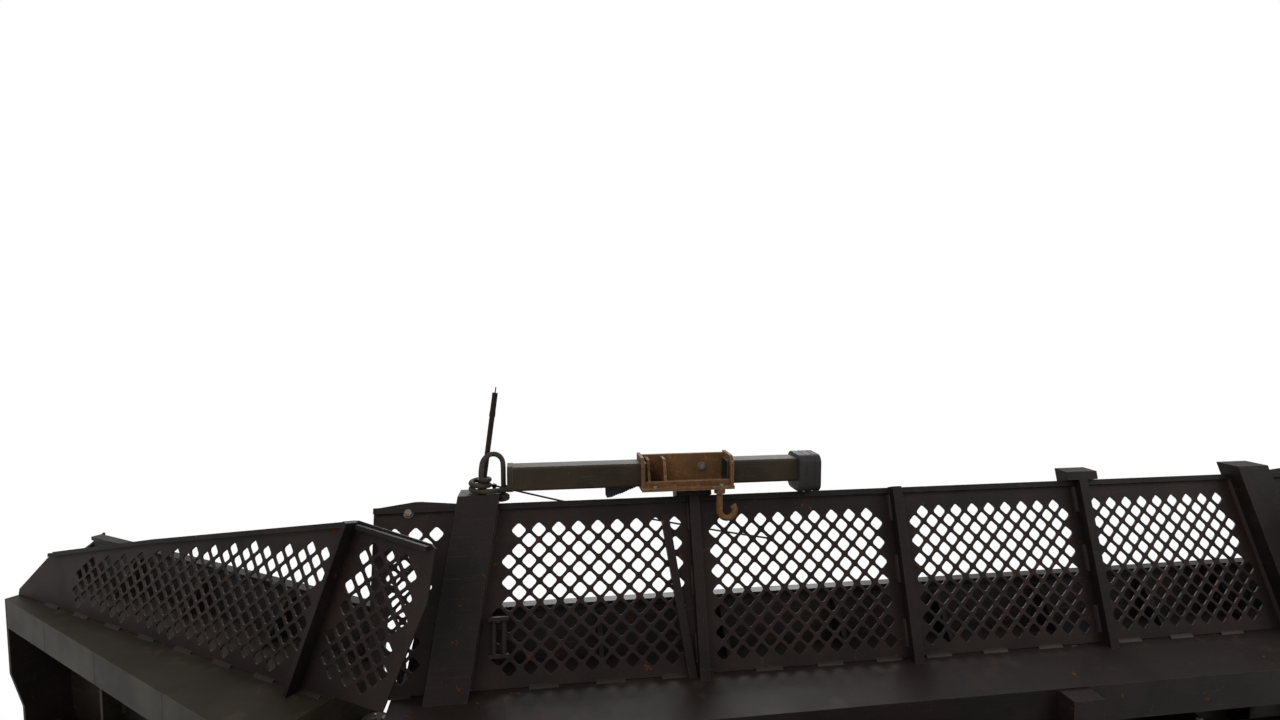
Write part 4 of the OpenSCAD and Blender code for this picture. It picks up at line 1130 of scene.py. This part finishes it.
@dataclass
class Ram:
    """A cylinder's fittings. Its own frame has Z from the barrel's eye to the rod's, and X along the pins."""

    name: str
    side: str
    start: Point
    end: Point
    pin: Point
    bore: float
    rod: float
    barrel: float
    base_body: str
    end_body: str
    pin_face: float = 52.0
    eye: float = 36.0
    neck: tuple[float, float] = (26.0, 40.0)
    base_port: float = 70.0
    port_back: float = 62.0
    rod_nipple_turn: float = 0.0
    rod_pin_sides: tuple[int, ...] = (-1, 1)

    def body(self, kind: str) -> str:
        """Name of the CAD body of its barrel or rod."""
        return f"{self.name}_{kind}{'_' + self.side if self.side else ''}"

    def place(self) -> Array:
        """Placement of its own frame at the barrel's eye."""
        return MIRROR[self.side or "right"] @ along(self.start, np.subtract(self.end, self.start), self.pin)

    def length(self) -> float:
        """Distance between its two pins."""
        return float(np.linalg.norm(np.subtract(self.end, self.start)))

    def eye_place(self) -> Array:
        """Middle of the rod eye's pin."""
        return (self.place() @ (0.0, 0.0, self.length(), 1.0))[:3]

    def weld(self, radius: float, z: float, size: float = 5.0) -> Surface:
        """A weld round the neck: r = radius + s cos v, z - s sin v, with s = size (1 + 0.12 |sin 20 t|)."""
        t = np.linspace(0, 2 * np.pi, 120, endpoint=False)[:, None]
        v = np.radians([-20.0, 20.0, 50.0, 80.0, 120.0])
        s = size * (1 + 0.12 * np.abs(np.sin(20 * t)))
        r = radius - 1 + s * np.cos(v)
        ring = np.stack([r * np.cos(t), r * np.sin(t), z - s * np.sin(v)], -1)
        return ring.reshape(-1, 3), grid_faces(120, 5, hoop=True)

    def dress(self, palette: Palette) -> None:
        """Build the gland, ports, welds, wiper, nipples and pin bolts.

        Args:
            palette: The finishes.
        """
        place, length, label = self.place(), self.length(), self.body("fittings")
        end, r, rod = self.barrel, self.bore / 2, self.rod / 2
        barrel, zinc = self.body("barrel"), palette[Finish.ZINC]
        gland = [(rod + 2, end - 30), (r + 3, end - 37), (r + 5, end - 35), (r + 5, end - 12),
                 (r + 3, end - 10), (r + 0.5, end - 9), (r - 1, end + 3), (rod + 5, end + 4),
                 (rod + 2, end + 3)]
        steel = Shape().put(*lathe(gland, 48, hoop=True), place)
        rib = box((-5, r + 3.6, end - 33), (5, r + 6.4, end - 14), 0.93)
        steel.seat([rib], *(place @ turn("z", 60 * k + 30) for k in range(6)))
        steel.put(*self.weld(*self.neck), place)
        port = lathe([(0, 0), (13, 0), (13, 14), (12, 16), (0, 16)])
        steel.put(*port, place @ move(r - 3, 0, end - self.port_back) @ turn("y", 90))
        steel.build(label, barrel, palette[Finish.BARREL], "black_barrel")
        ports = self.base_port, end - self.port_back
        plugs = (place @ move(r + 13, 0, z) @ turn("y", 90) for z in ports)
        trim = Shape().seat(hex_bolt(19, 8, 24), *plugs)
        trim.seat(nipple(), place @ move(0, 0, -self.eye) @ turn("x", 180))
        trim.build(f"{label}_plugs", barrel, zinc, "edge_steel")
        lip = [(rod + 0.6, end + 3), (rod + 5, end + 3), (rod + 4, end + 7), (rod + 0.6, end + 8)]
        wiper = Shape().put(*lathe(lip, 40, hoop=True), place)
        wiper.build(f"{label}_wiper", barrel, palette[Finish.RUBBER], "black_rubber")
        eye = place @ move(0, 0, length) @ turn("x", self.rod_nipple_turn)
        far = Shape().seat(nipple(), eye @ move(0, 0, self.eye))
        far.build(f"{label}_rod_nipple", self.body("rod"), zinc, "edge_steel")
        for tag, body, z, sides in (("base_pin", self.base_body, 0.0, (-1, 1)),
                                    ("rod_pin", self.end_body, length, self.rod_pin_sides)):
            faces = (place @ move(sign * self.pin_face, 0, z) @ turn("y", sign * 90) for sign in sides)
            bolts = Shape().seat(hex_bolt(17, 7, 24), *faces)
            bolts.build(f"{label}_{tag}", body, zinc, "edge_steel")


def all_rams() -> list[Ram]:
    """The seven cylinders, each laid between its two pins as in the part's source.

    A wing's lever turns with the wing: its pin lies 40 along the wing and 140 behind its hinge.

    Returns:
        The cylinders.
    """
    plan = Plan()
    c, s = np.cos(np.radians(plan.wing_swing)), np.sin(np.radians(plan.wing_swing))
    base_y, pivot_y, upright = plan.guard_y - 60, plan.guard_y + plan.hinge[1], (0.0, 0.0, -1.0)
    lever = (plan.hinge[0] + 40 * c + 140 * s, pivot_y + 40 * s - 140 * c, 60.0)
    out = []
    for side in MIRROR:
        out += [
            Ram("lift", side, (330, 95, 215), (330, 450, -40), (1.0, 0.0, 0.0), 76, 40, 264,
                "root", "lift_frame", rod_pin_sides=(1,)),
            Ram("angle", side, (175, 225, -30), (240, 620, -30), upright, 76, 40, 256,
                "lift_frame", "swing_head", rod_nipple_turn=90),
            Ram("wing", side, (800, base_y, 60), lever, upright, 66, 34, 520, "blade", f"wing_{side}"),
        ]
    tilt = Ram("tilt", "", (-150, 693, 60), (300, 693, 110), (0.0, 1.0, 0.0), 70, 36, 330,
               "swing_head", "blade")
    return out + [tilt]


@dataclass
class Accessories(Assembly):
    """What sits on the guard's top: saddle bolts, end block, marker rod, rope, tie wire and rubber flap."""

    tube_rise: float = 70.0
    tube_size: float = 60.0
    tube_back: float = 16.0
    saddle_shift: float = 21.0
    front_bolt: tuple[float, float] = (51.0, 5.0)
    base_bolts: tuple[float, float] = (86.0, 44.0)
    rod_back: float = 8.0
    rod_in: float = 40.0
    rope_d: float = 12.6
    turn_r: float = 23.0
    turns: float = 2.0
    loop_top: float = 70.0
    rod_tilt: float = 8.0
    rod_bare: tuple[float, float] = (205.0, 252.0)
    wire_d: float = 4.8
    wire_sag: float = 9.0
    wire_off: float = 11.0
    staple: Point = (-12.0, 16.0, 10.0)
    block: tuple[float, float, float] = (56.0, 88.0, 94.0)
    block_start: float = -284.0
    block_drop: float = 9.0
    block_corner: float = 21.6
    block_wall: float = 1.6
    flap_start: float = 206.0
    flap_back: float = 12.0
    flap_long: float = 78.0
    flap_t: float = 4.2

    def saddle(self) -> None:
        """Set the bolts in the saddle's front wall and in its base."""
        y, z = self.plan.up_guard(self.plan.guard_high)
        middle = move(-self.plan.post_x - self.saddle_shift, y - self.tube_back, z + self.tube_rise)
        half, (x, up), (dx, dy) = self.tube_size / 2, self.front_bolt, self.base_bolts
        shape = Shape().seat(hex_bolt(14, 6, 22), middle @ move(x, half + 1, up) @ turn("x", 90))
        shape.seat(hex_bolt(13, 6), *(middle @ move(i * dx, j * dy, -half) for i in (-1, 1) for j in (-1, 1)))
        shape.build("saddle_bolts", "blade", self.palette[Finish.ZINC], "rusty_steel")

    def end_block(self) -> None:
        """Pull moulded rubber over the tube's end block: rounded rectangles in a row, inset by a short table.

        A corner's points are its middle plus (r - inset) (cos t, sin t). Two shallow grooves run round it.
        """
        y, z = self.plan.up_guard(self.plan.guard_high)
        long, wide, high = self.block
        half = np.array([(-1.5, 12.0), (-1.4, 1.5), (-0.6, 0.4), (0.6, 0.0),
                         (14, 0), (15.2, 1.1), (18, 1.1), (19.2, 0)])
        rows = np.concatenate([half, (half * (-1, 1) + (long, 0))[::-1]])
        t = np.radians(np.concatenate([np.linspace(90 * k, 90 * k + 90, 9) for k in range(4)]))
        corner = np.array([(1, 1), (-1, 1), (-1, -1), (1, -1)]).repeat(9, 0)
        inset, r, wall = rows[:, 1, None], self.block_corner, self.block_wall
        side = corner[:, 0] * (wide / 2 + wall - r) + (r - inset) * np.cos(t)
        up = corner[:, 1] * (high / 2 + wall - r) + (r - inset) * np.sin(t)
        ring = np.stack([np.repeat(rows[:, :1], 36, 1), side, up], -1)
        low = z + self.tube_rise - self.block_drop
        shape = Shape().put(*closed(ring), move(self.block_start, y - self.tube_back, low))
        shape.build("end_block_rubber", "blade", self.palette[Finish.RUBBER], "black_rubber")

    def rod(self) -> None:
        """Slip a sleeve over the marker rod's upper end, up to a short bare tip: a turned profile."""
        y, z = self.plan.up_guard(self.plan.guard_high)
        low, high = self.rod_bare
        x = -self.plan.hinge_post[0] - self.rod_in
        place = move(x, y - self.rod_back, z + self.plan.post_rise) @ turn("y", self.rod_tilt)
        profile = [(0, low - 14), (7.2, low - 14), (7.6, low - 12), (7.4, low - 4), (6.9, low),
                   (6.7, high - 8), (7.0, high - 6), (6.6, high - 1), (0, high)]
        shape = Shape().put(*lathe(profile, 20), place)
        shape.build("marker_rod_sleeve", "blade", self.palette[Finish.GUARD], "brown_steel")

    def rope_path(self) -> Array:
        """Route of the rope: round the loop's leg, along the post's top, round the rod's socket, to the knot.

        The turns are (r cos t, r sin t, d / 2 + d t / 2 pi) about the socket with a waver of 1.5 sin(t + 1),
        the run is a line that touches them with a bow of 3, and the loop is a half circle between two legs.

        Returns:
            N by 3 points.
        """
        plan, d, top = self.plan, self.rope_d, self.loop_top
        y, z = plan.up_guard(plan.guard_high)
        socket = np.array([-plan.hinge_post[0] - self.rod_in - 4, y - self.rod_back, z + plan.post_rise])
        leg = np.array([self.rod_in + 16.0, 0.0])
        b = np.radians(np.linspace(70, -95, 14))[:, None]
        low = d / 2 + 0.8
        hook = np.c_[leg + (d + 0.8) * np.hstack([np.cos(b), np.sin(b)]), np.full(14, low)]
        t = np.linspace(0, 2 * np.pi * self.turns, int(26 * self.turns))
        way, radius = np.radians(-88) - t, self.turn_r + 1.5 * np.sin(t + 1)
        coil = np.stack([radius * np.cos(way), radius * np.sin(way), low + (d + 1.4) * t / (2 * np.pi)], -1)
        k = np.linspace(0, 1, 8)[1:-1, None]
        run = hook[-1] * (1 - k) + coil[0] * k - np.array([0, 3.0, 0]) * np.sin(np.pi * k)
        first, bump = coil[-1], coil[-1, :2] + (4, -1)
        k = np.array([[0.45], [0.75]])
        rise = first * (1 - k) + np.array([*bump, top]) * k
        a = np.linspace(0, np.pi, 16)
        span = (1 - np.cos(a))[:, None] / 2
        arch = np.c_[bump + (leg - bump) * span, top + np.linalg.norm(leg - bump) / 2 * np.sin(a)]
        fall = np.array([[*leg, h] for h in np.linspace(top - 12, 10.5 - plan.post_rise, 8)])
        path = np.concatenate([hook, run, coil, rise, arch, fall])
        for _ in range(2):
            path[1:-1] = (path[:-2] + 2 * path[1:-1] + path[2:]) / 4
        return path + socket

    def rope(self) -> None:
        """Wind the rope, and tie its knot of two rings (r cos b, r sin b) that lie tilted on each other."""
        path, d, finish = self.rope_path(), self.rope_d, self.palette[Finish.ROPE]
        rope = Shape().put(*tube(path, d / 2))
        thing = rope.build("lashing_rope", "blade", finish, "black_rubber", hides="hose_loops")
        knot, r = Shape(), d / 2 + 4.5
        b = np.linspace(0, 2 * np.pi, 25)
        for height, tilt in ((4.0, 14.0), (13.0, -18.0)):
            ring = np.stack([r * np.cos(b), r * np.sin(b), 0.12 * tilt * np.cos(b)], -1)
            knot.put(*tube(ring, 4.6, 10), move(*path[-1]) @ move(0, 0, height))
        tie = knot.build("rope_knot", "blade", finish, "black_rubber")
        path[0] * MM
        d * MM
        path * MM

    def wire(self) -> None:
        """Stretch the tie wire from staple to clip: a chord that sags by 4 f u (1 - u), with twisted ends."""
        plan = self.plan
        top_y, top_z = plan.up_guard(plan.guard_high)
        clip_y, clip_z = plan.up_guard(plan.guard_high / 2 + 2 * plan.pitch)
        a = np.radians(plan.guard_lean)
        out = np.array([0, np.cos(a), -np.sin(a)])
        start = np.array([-plan.hinge_post[0], top_y, top_z + plan.post_rise]) + self.staple
        foot = np.array([-(plan.post_x + 0.5) / 2 - 1.5 * plan.pitch, clip_y, clip_z])
        end = foot + self.wire_off * out
        u = np.linspace(0, 1, 40)[:, None]
        sag = np.array([0, 0, -4 * self.wire_sag]) * u * (1 - u)
        shape = Shape().put(*tube(start + (end - start) * u + sag, self.wire_d / 2, 8))
        b = np.linspace(0, 6 * np.pi, 60)
        twist = tube(np.stack([5.6 * np.cos(b), 5.6 * np.sin(b), 6 + 1.2 * b / np.pi], -1), 1.5, 7)
        peg = lathe([(0, 0), (6, 0), (6, 1), (4.2, 2), (4.2, 12), (5.4, 13), (5.4, 14.5), (0, 15)], 16)
        up = np.array([0.0, 0.0, 1.0])
        shape.seat([peg, twist], along(start - self.staple[2] * up, up), along(foot, out))
        shape.build("tie_wire_stretched", "blade", self.palette[Finish.WIRE], "brown_steel", hides="tie_wire")

    def flap(self) -> None:
        """Hang the torn flap under the tube: it bends by 1.6 sin(x / 14) v and curls back by 3 v squared.

        Here x runs along the tube and v from the tube, 0, to the torn edge, 1.
        """
        y, z = self.plan.up_guard(self.plan.guard_high)
        x = np.linspace(0, self.flap_long, 40)
        drop = np.interp(x, [0, 4, 16, 30, 44, 60, self.flap_long], [24, 31, 30, 24, 20, 12, 6])
        drop += 1.2 * np.sin(x * 1.9)
        v = np.linspace(0, 1, 8)
        wave = 1.6 * np.sin(x / 14)[:, None] * v - 3.0 * (v**2)[None]
        front = np.stack([np.repeat(x[:, None], 8, 1), wave, -drop[:, None] * v], -1)
        rear = front - np.array([0, self.flap_t, 0])
        left = -self.plan.post_x - self.saddle_shift - self.flap_start
        place = move(left, y - self.flap_back, z + self.tube_rise - self.tube_size / 2)
        shape = Shape().put(*closed(np.concatenate([front, rear[:, ::-1]], 1)), place)
        finish = self.palette[Finish.FLAP]
        shape.build("rubber_flap_torn", "blade", finish, "black_rubber", hides="rubber_flap")


# Stage


@dataclass
class Studio:
    """Camera at the photograph's place, soft lamps and a pale floor."""

    place: Point = (-0.972, -0.786, 1.225)
    yaw: float = 8.69
    pitch: float = -4.25
    lens: float = 20.38
    floor_z: float = -0.551
    floor_half: float = 30.0
    white_from: tuple[float, float] = (1.9, 3.4)

    def stand(self, name: str, data: bpy.types.ID, place: Point = (0.0, 0.0, 0.0)) -> bpy.types.Object:
        """Link a new object with this data at a place in metres."""
        thing = bpy.data.objects.new(name, data)
        thing.location = place
        bpy.context.scene.collection.objects.link(thing)
        return thing

    def camera(self) -> None:
        """Put the camera where the photograph was taken."""
        data = bpy.data.cameras.new("camera")
        data.sensor_width, data.lens, data.clip_start = 36.0, self.lens, 0.01
        thing = self.stand("camera", data, self.place)
        thing.rotation_euler = (np.radians(90 + self.pitch), 0.0, -np.radians(self.yaw))
        bpy.context.scene.camera = thing

    def lamp(self, name: str, place: Point, size: float, power: float) -> None:
        """Add one square soft lamp that points at the blade.

        Args:
            name: The lamp's name.
            place: Its place in metres.
            size: Its side in metres.
            power: Its power in watts.
        """
        data = bpy.data.lights.new(name, "AREA")
        data.shape, data.size, data.energy = "SQUARE", size, power
        thing = self.stand(name, data, place)
        thing.rotation_euler = (Vector((0.0, 0.8, 0.2)) - Vector(place)).to_track_quat("-Z", "Y").to_euler()

    def floor(self) -> None:
        """Lay a pale floor at the teeth's level: it takes the shadow near the blade, and is white beyond."""
        mesh = bpy.data.meshes.new("floor")
        s = self.floor_half
        corners = [(x, y, self.floor_z) for x, y in ((-s, -s), (s, -s), (s, s), (-s, s))]
        mesh.from_pydata(corners, [], [(0, 1, 2, 3)])
        m, node, place = start_material("matt_paper_floor")
        paper = node("BsdfPrincipled", named={"Base Color": "d9d9d7", "Roughness": 0.9})
        span = node("VectorMath", place, operation="LENGTH")
        far = node("MapRange", span, *self.white_from)
        away = node("Math", far, self.seen(node), **TIMES)
        node("OutputMaterial", node("MixShader", away, paper, node("Emission", "ffffff", 1.0)))
        mesh.materials.append(m)
        self.stand("floor", mesh)

    def seen(self, node: Adder) -> Node:
        """How far a ray is the picture's: 1 for the camera's and clear rays, 0.5 for reflections, else 0."""
        rays = node("LightPath").outputs
        shiny = node("Math", rays["Is Glossy Ray"], 0.5, **TIMES)
        clear = node("Math", shiny, rays["Is Transmission Ray"], operation="MAXIMUM")
        return node("Math", rays["Is Camera Ray"], clear, operation="MAXIMUM")

    def world(self) -> None:
        """Light the scene evenly, and show white to the camera and in reflections."""
        world = bpy.data.worlds.new("world")
        bpy.context.scene.world = world
        world.use_nodes = True
        world.node_tree.nodes.clear()
        node = partial(add, world.node_tree)
        light, white = node("Background", "ffffff", 0.55), node("Background", "ffffff", 1.0)
        node("OutputWorld", node("MixShader", self.seen(node), light, white))

    def build(self) -> None:
        """Make the camera, the lamps, the floor and the world."""
        self.camera()
        self.lamp("high_left", (-3.5, -2.0, 4.5), 3.0, 130.0)
        self.lamp("high_right", (4.0, -1.0, 4.0), 3.0, 135.0)
        self.lamp("front", (0.5, 6.0, 3.5), 3.5, 320.0)
        self.floor()
        self.world()
        bpy.context.scene.view_settings.view_transform = "Standard"


def main() -> None:
    """Load the frame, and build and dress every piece."""
    logging.basicConfig(level=logging.INFO, format="%(name)s: %(message)s")
    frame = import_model()
    Studio().build()
    plan, palette = Plan(), Palette()
    palette.dress(frame)
    for kind in (Guards, Welds, Fasteners):
        assembly = kind(plan, palette)
        assembly.centre()
        for side in MIRROR:
            assembly.wing(side)
    for ram in all_rams():
        ram.dress(palette)
    top = Accessories(plan, palette)
    for build in (top.saddle, top.end_block, top.rod, top.rope, top.wire, top.flap):
        build()


if __name__ == "__main__":
    main()
